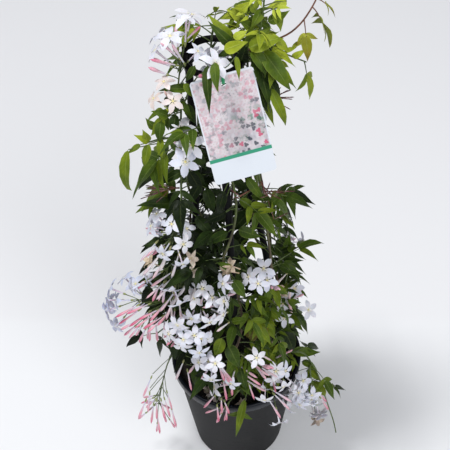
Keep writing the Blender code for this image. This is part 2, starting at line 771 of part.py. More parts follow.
def wall_radius(height):
    """Inside radius of the pot's wall."""
    share = (height - FLOOR) / (POT_HEIGHT - FLOOR)
    low, high = BASE_RADIUS - BASE_WALL, RIM_RADIUS - LIP_DEPTH - WALL
    return low + (high - low) * share


def make_pot():
    lip = POT_HEIGHT - LIP_HEIGHT
    outer = RIM_RADIUS - LIP_DEPTH
    profile = [
        (0, 0), (BASE_RADIUS - EDGE, 0), (BASE_RADIUS, EDGE), (outer, lip - 1.5), (RIM_RADIUS - 0.4, lip),
        (RIM_RADIUS, POT_HEIGHT - 2), (RIM_RADIUS - 1.6, POT_HEIGHT), (outer, POT_HEIGHT),
        (wall_radius(POT_HEIGHT - 3), POT_HEIGHT - 3), (wall_radius(FLOOR), FLOOR), (0, FLOOR),
    ]
    colour = finish("pot_plastic", (0.036, 0.036, 0.039), 0.5)
    pot = add_object("pot", revolve(profile, POT_SIDES), colour)
    for n in range(DRAIN_COUNT):
        angle = math.tau * (n + 0.5) / DRAIN_COUNT
        x, y = DRAIN_CIRCLE * math.cos(angle), DRAIN_CIRCLE * math.sin(angle)
        cut(pot, f"drain_cutter_{n}", upright(x, y, -1, FLOOR + 1, DRAIN_RADIUS, 8))


def make_soil(stems):
    draw = random.Random(3)
    bottom = FLOOR + GAP
    inset = GAP * 1.05
    profile = [(0, bottom), (wall_radius(bottom) - inset, bottom)]
    profile.append((wall_radius(SOIL_TOP) - inset, SOIL_TOP))
    profile += [(radius, SOIL_TOP + rise) for radius, rise in SOIL_HEAP]
    points, faces = revolve(profile, SOIL_SIDES)
    inner = 1 + 2 * SOIL_SIDES
    for point in points[inner:]:
        point.z += draw.uniform(-SOIL_BUMP, SOIL_BUMP)
    soil = add_object("soil", (points, faces), finish("potting_mix", (0.05, 0.033, 0.022), 0.95))
    for name in STAKES:
        x, y, _ = STAKES[name][-1]
        cut(soil, name + "_hole", upright(x, y, STAKE_END - GAP, SOIL_TOP + 12, STAKE_RADIUS + GAP, 8))
    for stem in stems:
        if "hole" in stem:
            x, y = stem["hole"]
            hole = upright(x, y, SOIL_TOP - STEM_DEPTH - GAP, SOIL_TOP + 12, stem["thick"][0] + GAP, 6)
            cut(soil, stem["name"] + "_hole", hole)


def make_support():
    colour = finish("support_plastic", (0.012, 0.012, 0.014), 0.32)
    for name in STAKES:
        path = stake_line(name)
        add_object(name, tube(path, [STAKE_RADIUS] * len(path), 8), colour)
    circle, points, faces = RING_SIDES, [], []
    for n in range(circle):
        turn = math.tau * n / circle
        for k in range(6):
            angle = math.tau * k / 6
            radius = RING_RADIUS + RING_THICK * math.cos(angle)
            height = RING_THICK * math.sin(angle)
            points.append(RING_CENTRE + Vector((radius * math.cos(turn), radius * math.sin(turn), height)))
            m, j = (n + 1) % circle, (k + 1) % 6
            faces.append((n * 6 + k, m * 6 + k, m * 6 + j, n * 6 + j))
    ring = add_object("top_ring", outward(points, faces), colour)
    for name in STAKES:
        x, y, _ = STAKES[name][0]
        boss = upright(x, y, SOCKET_BOTTOM, SOCKET_TOP + 1.5, SOCKET_RADIUS, 10)
        cut(ring, name + "_boss", boss, "UNION")
    for name in STAKES:
        x, y, _ = STAKES[name][0]
        hole = upright(x, y, SOCKET_BOTTOM - 5, STAKE_TOP + GAP, STAKE_RADIUS + GAP, 8)
        cut(ring, name + "_socket", hole)


def label_outline():
    """Corner points of the card round its hole's centre, as (across, up)."""
    left, right = -LABEL_WIDTH / 2, LABEL_WIDTH / 2
    top, bottom = HOLE_BELOW_EDGE, HOLE_BELOW_EDGE - LABEL_LENGTH
    outline = []
    for x, z, first in ((right, top, 0), (left, top, 90), (left, bottom, 180), (right, bottom, 270)):
        across = x - math.copysign(LABEL_CORNER, x)
        up = z - (LABEL_CORNER if z == top else -LABEL_CORNER)
        for step in range(4):
            angle = math.radians(first + 30 * step)
            outline.append((across + LABEL_CORNER * math.cos(angle), up + LABEL_CORNER * math.sin(angle)))
    return outline


def label_solid(grow=0.0):
    outline = label_outline()
    half, count = LABEL_THICK / 2 + grow, len(outline)
    points = [Vector((x, y, z)) for y in (-half, half) for x, z in outline]
    faces = [tuple(range(count)), tuple(reversed(range(count, 2 * count)))]
    faces += [((n + 1) % count, n, n + count, (n + 1) % count + count) for n in range(count)]
    return outward(points, faces)


def label_turned():
    return Euler([math.radians(angle) for angle in (-LABEL_LEAN, -LABEL_ROLL, LABEL_TURN)], "YXZ")


def make_label():
    card = add_object("label", label_solid(), finish("label_card", (0.75, 0.72, 0.72), 0.35))
    hole = [Vector((0, -4, 0)), Vector((0, 4, 0))]
    radius = HOLE_RADIUS / math.cos(math.pi / 12)
    cut(card, "label_hole", tube(hole, [radius] * 2, 12))
    card.location = HOLE_PLACE * MM
    card.rotation_mode = "YXZ"
    card.rotation_euler = label_turned()


def tie_solid(grow=0.0):
    """The strap's loop: through the label's hole, over its top edge and round the back of the ring."""
    loop = [
        (-36.6, 589.4), (-36.4, 592.8), (-34.0, 596.2), (-30.0, 597.4), (-25.0, 595.8), (-20.8, 592.8),
        (-19.3, 588.2), (-20.8, 584.4), (-25.2, 583.3), (-29.6, 584.4), (-33.2, 587.0), (-35.4, 588.2),
    ]
    points, faces, count = [], [], len(loop)
    half, thick = TIE_WIDTH / 2 + grow, TIE_THICK / 2 + grow
    for n, (y, z) in enumerate(loop):
        before, after = loop[n - 1], loop[(n + 1) % count]
        across = Vector((0, after[1] - before[1], before[0] - after[0])).normalized()
        for x, out in ((-half, -thick), (half, -thick), (half, thick), (-half, thick)):
            points.append(Vector((HOLE_PLACE.x + x, y, z)) + across * out)
    for n in range(count):
        m = (n + 1) % count
        for k in range(4):
            j = (k + 1) % 4
            faces.append((n * 4 + k, m * 4 + k, m * 4 + j, n * 4 + j))
    return outward(points, faces)


def make_tie():
    add_object("label_tie", tie_solid(), finish("tie_plastic", (0.02, 0.28, 0.11), 0.4))


def nearest(path, place):
    """The point of the path nearest to a place, with the number of its stretch."""
    place, best = Vector(place), None
    for n, (a, b) in enumerate(zip(path, path[1:])):
        share = (place - a).dot(b - a) / (b - a).length_squared
        point = a.lerp(b, min(max(share, 0.0), 1.0))
        if best is None or (point - place).length < best[0]:
            best = ((point - place).length, n, point)
    return best[1], best[2]


def seat(path, radii, near, toward):
    """A place just off a stem's surface, on the side that faces toward, and the direction there."""
    n, place = nearest(path, near)
    along = (path[n + 1] - path[n]).normalized()
    away = Vector(toward) - place
    away = (away - along * away.dot(along)).normalized()
    return place + away * (radii[n] + GAP), away


def run_length(places):
    return sum((Vector(b) - Vector(a)).length for a, b in zip(places, places[1:]))


def twine(stem):
    """Places up the stem's stake, winding round it."""
    line, places, steps = stake_line(stem["stake"]), [], 14
    for n in range(steps + 1):
        height = TWINE_START + (stem["top"] - TWINE_START) * n / steps
        k = next((k for k in range(len(line) - 1) if line[k + 1].z <= height), 0)
        share = (line[k].z - height) / (line[k].z - line[k + 1].z)
        middle = line[k].lerp(line[k + 1], max(share, 0.0))
        angle = stem["phase"] + math.tau * stem["turns"] * n / steps
        out = Vector((math.cos(angle), math.sin(angle), 0)) * TWINE_RADIUS
        places.append(Vector((middle.x, middle.y, height)) + out)
    return places


def stem_path(stem, paths):
    """Points along the stem, with its radius at each."""
    way = twine(stem) if "stake" in stem else stem["via"]
    if "hole" in stem:
        x, y = stem["hole"]
        root = [Vector((x, y, SOIL_TOP - STEM_DEPTH))]
        start = [(x, y, SOIL_TOP + 5), (x, y, SOIL_TOP + 12)]
        step = STEM_STEP
    else:
        other, near = stem["beside"]
        place, away = seat(*paths[other], near, stem["via"][0])
        root, start, step = [place], [place + away * 5], SHOOT_STEP
    way = [*start, *way]
    path = root + smooth(way, max(4, round(run_length(way) / step)))
    first, last = stem["thick"]
    radii = [first + (last - first) * n / (len(path) - 1) for n in range(len(path))]
    return path, radii


def stem_solid(path, radii, grow=0.0, sides=STEM_SIDES):
    return tube(path, [radius + grow for radius in radii], sides)


def placed_leaves(stem, paths, clearance):
    """The stem's leaves that lie clear of the rest: first those given, then those that follow the rule."""
    path, _ = paths[stem["name"]]
    draw = random.Random(stem["seed"])
    wanted = []
    for near, tip, pairs in stem["leaves"]:
        wanted.append((nearest(path, near)[1], Vector(tip), pairs))
    low = next((n for n, place in enumerate(path) if place.z > SOIL_TOP + 45), 0)
    count = stem["rule_leaves"]
    for n in range(count):
        stretch = round(low + (len(path) - 2 - low) * (n + 0.5) / count)
        place = path[stretch].lerp(path[stretch + 1], 0.5)
        outside = math.atan2(place.y, place.x)
        wanted.append((place, outside + (1.0 if n % 2 else -1.0), 2))
    found = []
    for base, goal, pairs in wanted:
        for attempt in range(ATTEMPTS):
            if isinstance(goal, Vector):
                tip = goal + Vector([draw.uniform(-1, 1) for _ in range(3)]) * (1.6 * attempt)
            else:
                heading = goal + draw.uniform(-0.5, 0.5) * (1 + attempt / 4)
                length = draw.uniform(54, 68) * (1 - attempt / 60)
                fall = draw.uniform(-0.55, 0.1)
                flat = Vector((math.cos(heading), math.sin(heading), 0)) * math.cos(fall)
                tip = base + (flat + Vector((0, 0, math.sin(fall)))) * length
            leaf = make_leaf(base, tip, pairs, draw.uniform(-0.3, 0.3))
            whole = leaf_blade(leaf, MARGIN)
            blade = leaf_blade(leaf, MARGIN, LEAF_STALK)
            if clearance.meets(whole, without=stem["name"]) or clearance.meets(blade, only=stem["name"]):
                continue
            clearance.add(stem["name"], whole)
            found.append(leaf)
            break
    return found


def spray_path(spray, paths):
    place, away = seat(*paths[spray["stem"]], spray["near"], spray["via"][0])
    way = [place + away * 4, *spray["via"]]
    return [place] + smooth(way, max(3, round(run_length(way) / SHOOT_STEP)))


def placed_organs(spray, path, clearance):
    """The spray's blooms and buds, each moved a little if it would meet another piece."""
    draw = random.Random(len(spray["name"]) * 7 + len(path))
    found = []
    wanted = [("bloom", goal) for goal in spray["blooms"]] + [("bud", goal) for goal in spray["buds"]]
    forks = {n: 0 for n in range(len(path) // 3, len(path))}
    for kind, goal in wanted:
        goal = Vector(goal)
        best = BLOOM_REACH if kind == "bloom" else BUD_REACH
        fork = min(forks, key=lambda n: abs((path[n] - goal).length - best) + FORK_SPREAD * forks[n])
        forks[fork] += 1
        base = path[fork].lerp(path[min(fork + 1, len(path) - 1)], 0.5)
        for attempt in range(ATTEMPTS):
            centre = goal + Vector([draw.uniform(-1, 1) for _ in range(3)]) * (0.9 * attempt)
            turn = draw.uniform(0, math.tau)
            if kind == "bloom":
                whole = bloom_solid(base, centre, turn, MARGIN)
                outer = bloom_solid(base, centre, turn, MARGIN, ORGAN_STALK)
            else:
                whole = bud_solid(base, centre, MARGIN)
                outer = bud_solid(base, centre, MARGIN, ORGAN_STALK)
            name = spray["name"]
            if clearance.meets(whole, without=name) or clearance.meets(outer, only=name):
                continue
            clearance.add(name, whole)
            found.append((kind, base, centre, turn))
            break
    return found


def keep_outs():
    """The pot, the mix, the support, the label and its tie, for the plant to stay clear of."""
    clearance = Clearance()
    rim = RIM_RADIUS + ROOM
    block = [(0, -1), (BASE_RADIUS + ROOM, -1)]
    block += [(rim, POT_HEIGHT - LIP_HEIGHT - 2), (rim, POT_HEIGHT + ROOM)]
    block += [(RIM_RADIUS - 7.5, POT_HEIGHT + ROOM), (RIM_RADIUS - 9, SOIL_TOP + 4), (0, SOIL_TOP + 6)]
    clearance.add("pot", revolve(block, 32))
    for name in STAKES:
        path = stake_line(name)
        clearance.add(name, tube(path, [STAKE_RADIUS + ROOM] * len(path), 8))
        x, y, _ = STAKES[name][0]
        clearance.add(name, upright(x, y, SOCKET_BOTTOM - ROOM, SOCKET_TOP + 2.5, SOCKET_RADIUS + ROOM, 8))
    circle = []
    for n in range(RING_SIDES + 1):
        turn = math.tau * n / RING_SIDES
        circle.append(RING_CENTRE + Vector((math.cos(turn), math.sin(turn), 0)) * RING_RADIUS)
    clearance.add("top_ring", tube(circle, [RING_THICK + ROOM] * len(circle), 8))
    turned = label_turned().to_matrix()
    points, faces = label_solid(ROOM)
    clearance.add("label", ([turned @ point + HOLE_PLACE for point in points], faces))
    clearance.add("label_tie", tie_solid(ROOM))
    return clearance


def make_plant():
    clearance = keep_outs()
    paths = {}
    for stem in STEMS:
        paths[stem["name"]] = stem_path(stem, paths)
        clearance.add(stem["name"], stem_solid(*paths[stem["name"]], MARGIN))
    finishes = {name: finish(name, *look) for name, look in PLANT_FINISHES.items()}
    sprays = {}
    for spray in SPRAYS:
        path = spray_path(spray, paths)
        radii = [STALK_RADIUS] * len(path)
        clearance.add(spray["name"], stem_solid(path, radii, MARGIN, STALK_SIDES))
        sprays[spray["name"]] = (path, radii)
    for spray in SPRAYS:
        path, radii = sprays[spray["name"]]
        solids = [stem_solid(path, radii, 0.0, STALK_SIDES)]
        for kind, base, centre, turn in placed_organs(spray, path, clearance):
            solids.append(bloom_solid(base, centre, turn) if kind == "bloom" else bud_solid(base, centre))
        joined(spray["name"], solids, finishes[spray.get("finish", "flower_white")])
    for stem in STEMS:
        solids = [stem_solid(*paths[stem["name"]])]
        for leaf in placed_leaves(stem, paths, clearance):
            solids.append(leaf_blade(leaf))
        joined(stem["name"], solids, finishes[stem.get("finish", "leaf_green")])


clear_scene()
make_pot()
make_soil(STEMS)
make_support()
make_label()
make_tie()
make_plant()
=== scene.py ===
import json
import math
import random

import bmesh
import bpy
from mathutils import Euler, Matrix, Vector, noise
from mathutils.kdtree import KDTree

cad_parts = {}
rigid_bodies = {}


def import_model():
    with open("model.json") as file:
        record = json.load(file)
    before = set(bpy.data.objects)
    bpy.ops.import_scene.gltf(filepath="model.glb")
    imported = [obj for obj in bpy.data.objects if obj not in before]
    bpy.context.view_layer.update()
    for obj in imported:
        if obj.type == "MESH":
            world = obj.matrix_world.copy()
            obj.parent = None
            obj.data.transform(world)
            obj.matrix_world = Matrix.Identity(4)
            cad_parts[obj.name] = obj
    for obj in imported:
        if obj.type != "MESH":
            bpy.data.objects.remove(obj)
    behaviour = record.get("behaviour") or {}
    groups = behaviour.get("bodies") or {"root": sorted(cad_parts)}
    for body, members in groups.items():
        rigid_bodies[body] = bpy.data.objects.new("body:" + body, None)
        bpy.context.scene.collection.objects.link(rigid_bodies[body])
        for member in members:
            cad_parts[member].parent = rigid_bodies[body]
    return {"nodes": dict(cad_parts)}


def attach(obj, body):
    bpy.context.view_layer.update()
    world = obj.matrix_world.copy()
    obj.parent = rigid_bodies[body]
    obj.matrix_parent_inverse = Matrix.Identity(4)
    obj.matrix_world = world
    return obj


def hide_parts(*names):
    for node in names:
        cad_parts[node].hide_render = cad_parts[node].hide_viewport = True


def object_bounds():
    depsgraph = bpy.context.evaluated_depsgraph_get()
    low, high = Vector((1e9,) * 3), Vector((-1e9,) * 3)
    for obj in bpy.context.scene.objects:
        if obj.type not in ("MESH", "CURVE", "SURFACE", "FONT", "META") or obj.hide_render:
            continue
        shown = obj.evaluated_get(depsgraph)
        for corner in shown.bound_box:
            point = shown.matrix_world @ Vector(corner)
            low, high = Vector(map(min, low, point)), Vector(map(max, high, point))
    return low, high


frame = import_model()
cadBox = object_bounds()
mm = 0.001
up = Vector((0, 0, 1))
print("frame loaded,", len(frame["nodes"]), "nodes")

# Lengths are in millimetres, and in metres for the lamps and the camera. The plant's front is towards -Y.
view = {
    "place": (-0.0065, -0.668, 1.118), "pitch": 42, "roll": -2.545, "lens": 80,
    "floor": (0.80, 0.81, 0.83), "floorFar": (0.785, 0.79, 0.81), "floorEdge": (0.161, -0.056, 0.012),
    "floorReach": 4000, "aim": (0, 0, 0.35), "sky": (0.93, 0.95, 1.0), "skyStrength": 0.33,
    "keyPlace": (-0.82, -0.12, 3.0), "keySize": 0.5, "keyPower": 56,
    "fillPlace": (1.6, -3.0, 2.9), "fillSize": 2.6, "fillPower": 104,
}

potSizes = {
    "height": 155, "rim": 75, "base": 54, "lipHeight": 12, "lipDepth": 4.2, "wall": 1.9, "floor": 2.5,
    "lipRoll": 2.2, "sides": 112, "drains": 6, "drainRadius": 4.5, "drainCircle": 38,
    "colour": (0.0085, 0.0085, 0.009), "lipColour": (0.006, 0.008, 0.013), "roughness": 0.62,
    "lipRoughness": 0.26,
}
soilSizes = {
    "top": 130, "rings": 22, "sides": 72, "lump": 2.2, "heap": 2.8, "crumbs": 34000, "crumbSize": (0.9, 2.6),
    "fallen": [
        (-42, -28, 1, 0.2), (-26, -46, 0, 0.05), (-34, -40, 3, 0.6), (38, -34, 3, 0.7), (46, -14, 2, 0.5),
        (-48, 8, 3, 0.8), (20, 44, 1, 0.6), (-18, 50, 3, 0.8), (50, 22, 2, 0.7), (2, -58, 3, 0.5),
    ],
    "dark": (0.006, 0.0045, 0.0035), "light": (0.05, 0.035, 0.025),
}
supportSizes = {
    "radius": 3.5, "end": 64, "sides": 18, "ringCentre": (-10, 0, 588), "ringRadius": 25, "ringThick": 3,
    "ringSteps": (84, 16), "socketRadius": 5.1, "socketBottom": 575, "socketTop": 591.5, "socketDepth": 12,
    "gap": 0.3,
    "colour": (0.004, 0.004, 0.005), "roughness": 0.5,
}
labelSizes = {
    "width": 54, "length": 92, "thick": 0.7, "corner": 3, "hole": 2.4, "holeBelowEdge": 8,
    "place": (-2.8, -34.5, 587.2), "roll": 8.5, "lean": 26, "turn": 6.5,
    "card": (0.62, 0.66, 0.72), "band": (0.02, 0.26, 0.15), "bandLow": 0.21, "bandHigh": 0.245,
}
tieSizes = {
    "width": 2.8, "thick": 1.0, "colour": (0.008, 0.26, 0.10),
    "loop": [
        (-36.6, 589.4), (-36.4, 592.8), (-34.0, 596.2), (-30.0, 597.4), (-25.0, 595.8), (-20.8, 592.8),
        (-19.3, 588.2), (-20.8, 584.4), (-25.2, 583.3), (-29.6, 584.4), (-33.2, 587.0), (-35.4, 588.2),
    ],
}
leafSizes = {
    "ribHalf": 0.8, "sideLength": 0.29, "sideStretch": 1.14, "sideAngle": 56, "sideDroop": 38,
    "lastStart": 0.48, "singleStart": 0.25, "halfWidth": 0.176, "thick": 0.009, "bends": (0, 26, 52, 80),
    "ribThick": (0.62, 0.34), "petioleThick": (0.6, 0.55, 0.5, 0.45),
    "pairs": {1: (0.42,), 2: (0.34, 0.49), 3: (0.28, 0.39, 0.5)},
}
flowerSizes = {
    "reach": 11.2, "spread": 15, "fall": 1.0, "tube": 18.5, "lobeLength": 12.6, "lobeHalf": 3.5,
    "tubeRadius": 0.75, "bud": 21, "budRadius": 1.55,
    "sprayThick": (0.95, 0.6), "stalkThick": (0.45, 0.4, 0.5), "rootThick": (0.45, 0.4, 0.45),
}

# From part.py, which lays the stakes, stems and sprays along the same lines.
stakes = {
    "stake_front": [(-10, -25, 560), (-3, -40, 446), (-2, -46, 370), (-1, -53, 266), (-1, -54, 160)],
    "stake_right": [(11.6, 12.5, 560), (19, 16, 415), (33, 20, 325), (44, 22, 225), (49, 22, 160)],
    "stake_left": [(-31.6, 12.5, 560), (-33, 15, 430), (-40, 19, 310), (-47, 22, 215), (-49, 22, 160)],
}

stems = [
    {
        "name": "vine_front", "hole": (2, -43), "stake": "stake_front", "turns": 2.6, "phase": 1.57,
        "top": 590, "thick": (1.6, 1.1), "ruleLeaves": 5,
        "leaves": [((-4, -46, 400), (31, -58, 404), 2), ((-3, -50, 320), (34, -66, 306), 2)],
    },
    {
        "name": "vine_right", "hole": (39, 17), "stake": "stake_right", "turns": 2.4, "phase": 3.4,
        "top": 592, "thick": (1.6, 1.1),
        "leaves": [
            ((24, 16, 405), (82, 8, 385), 2), ((40, 22, 300), (78, 2, 288), 1),
            ((48, 22, 230), (82, -2, 186), 2), ((49, 22, 251), (84, 14, 232), 2),
            ((22, 11, 373), (-18, 35, 358), 2),
        ],
    },
    {
        "name": "vine_left", "hole": (-39, 17), "stake": "stake_left", "turns": 2.4, "phase": 5.8, "top": 560,
        "thick": (1.6, 1.0), "ruleLeaves": 5,
        "leaves": [((-34, 14, 470), (-80, 20, 452), 2)],
    },
    {
        "name": "vine_mid_left", "hole": (-17, -20),
        "via": [
            (-34, -27, 190), (-46, -32, 260), (-50, -32, 330), (-47, -26, 420), (-43, -20, 500),
            (-38, -13, 572),
        ],
        "thick": (1.6, 1.0), "ruleLeaves": 2,
        "leaves": [
            ((-43, -18, 508), (-91, -30, 450), 3), ((-40, -15, 548), (-70, -20, 536), 2),
            ((-47, -24, 440), (-92, -22, 424), 2), ((-49, -28, 392), (-92, -34, 376), 2),
        ],
    },
    {
        "name": "vine_mid_right", "hole": (18, -18),
        "via": [
            (32, -28, 190), (40, -32, 270), (37, -30, 360), (28, -22, 450), (20, -14, 530), (18, -6, 606),
        ],
        "thick": (1.6, 1.0),
        "leaves": [
            ((18, -8, 596), (58, -18, 556), 2), ((19, -12, 572), (39, -24, 528), 1),
            ((19, -11, 580), (53, -14, 517), 2), ((18, -7, 602), (-14, -12, 626), 2),
            ((18, -6, 606), (46, -14, 614), 2), ((38, -30, 345), (94, -4, 345), 2),
            ((40, -32, 272), (26, -66, 248), 2), ((28, -22, 450), (56, -28, 404), 2),
            ((20, -14, 530), (21, -67, 505), 2),
        ],
    },
    {
        "name": "vine_back", "hole": (0, 20),
        "via": [(6, 36, 210), (-5, 42, 300), (3, 36, 400), (-6, 30, 490), (-12, 24, 570), (-8, 14, 612)],
        "thick": (1.6, 1.0), "ruleLeaves": 6,
        "leaves": [((-8, 16, 608), (-4, -6, 640), 2)],
    },
    {
        "name": "vine_back_left", "hole": (-24, 18),
        "via": [(-42, 38, 210), (-46, 44, 300), (-36, 40, 400), (-28, 32, 480), (-26, 28, 530)],
        "thick": (1.5, 0.9), "ruleLeaves": 5,
        "leaves": [],
    },
    {
        "name": "vine_back_right", "hole": (24, 18),
        "via": [(42, 38, 210), (42, 44, 300), (32, 40, 400), (22, 34, 480), (20, 26, 550)],
        "thick": (1.5, 0.9),
        "leaves": [
            ((44, 42, 250), (84, 20, 242), 2), ((42, 44, 294), (16, 104, 295), 2),
            ((34, 41, 383), (86, 19, 379), 2), ((28, 38, 428), (24, 102, 429), 2),
            ((21, 30, 517), (44, 64, 494), 2),
        ],
    },
    {
        "name": "shoot_crown", "finish": "leaf_bright", "beside": ("vine_mid_right", (18, -8, 592)),
        "via": [(28, -1, 608), (32, 3, 630), (34, 5, 652)], "thick": (1.0, 0.7),
        "leaves": [
            ((26, 0, 616), (3, 2, 635), 2), ((29, 2, 627), (55, -4, 636), 2),
            ((32, 4, 640), (12, 12, 655), 1), ((34, 5, 652), (52, 8, 660), 1),
        ],
    },
    {
        "name": "shoot_young", "finish": "leaf_bronze", "beside": ("vine_right", (12, 6, 590)),
        "via": [(36, 1, 600), (50, 0, 606), (64, 0, 620), (74, 0, 640), (78, 0, 654)], "thick": (1.0, 0.6),
        "leaves": [
            ((72, 0, 634), (88, 2, 590), 2), ((66, 0, 622), (59, -4, 594), 1),
            ((75, 0, 642), (91, 0, 622), 1),
        ],
    },
    {
        "name": "shoot_hanging", "finish": "leaf_bright", "beside": ("vine_mid_right", (18, -8, 594)),
        "via": [(38, -7, 598), (54, -6, 590), (68, -5, 582)], "thick": (0.9, 0.6),
        "leaves": [((66, -5, 583), (69, -12, 543), 1), ((50, -6, 592), (72, 4, 596), 0)],
    },
    {
        "name": "shoot_low_left", "finish": "leaf_dark", "beside": ("vine_mid_left", (-45, -31, 252)),
        "via": [(-60, -34, 262), (-74, -36, 258), (-84, -36, 248)], "thick": (1.0, 0.7),
        "leaves": [
            ((-84, -36, 248), (-120, -34, 222), 1), ((-76, -36, 257), (-82, -44, 212), 1),
            ((-64, -35, 262), (-66, -52, 220), 0),
        ],
    },
    {
        "name": "shoot_trailing", "hole": (28, -4),
        "via": [
            (50, -12, 165), (74, -16, 172), (92, -22, 138), (104, -26, 90), (116, -30, 40), (120, -31, 16),
        ],
        "thick": (1.2, 0.7),
        "leaves": [
            ((66, -15, 173), (98, 12, 136), 1), ((88, -20, 146), (112, -44, 112), 1),
            ((100, -25, 106), (130, -14, 84), 1), ((54, -13, 168), (66, -32, 176), 0),
        ],
    },
    {
        "name": "shoot_low_front", "finish": "leaf_bright", "hole": (10, -26),
        "via": [(12, -40, 158), (12, -56, 174), (9, -68, 178), (7, -76, 172)], "thick": (1.1, 0.7),
        "leaves": [((7, -74, 172), (-5, -96, 128), 1), ((12, -56, 174), (40, -70, 178), 1)],
    },
]
for n, stem in enumerate(stems):
    stem["seed"] = 11 + n  # as in part.py

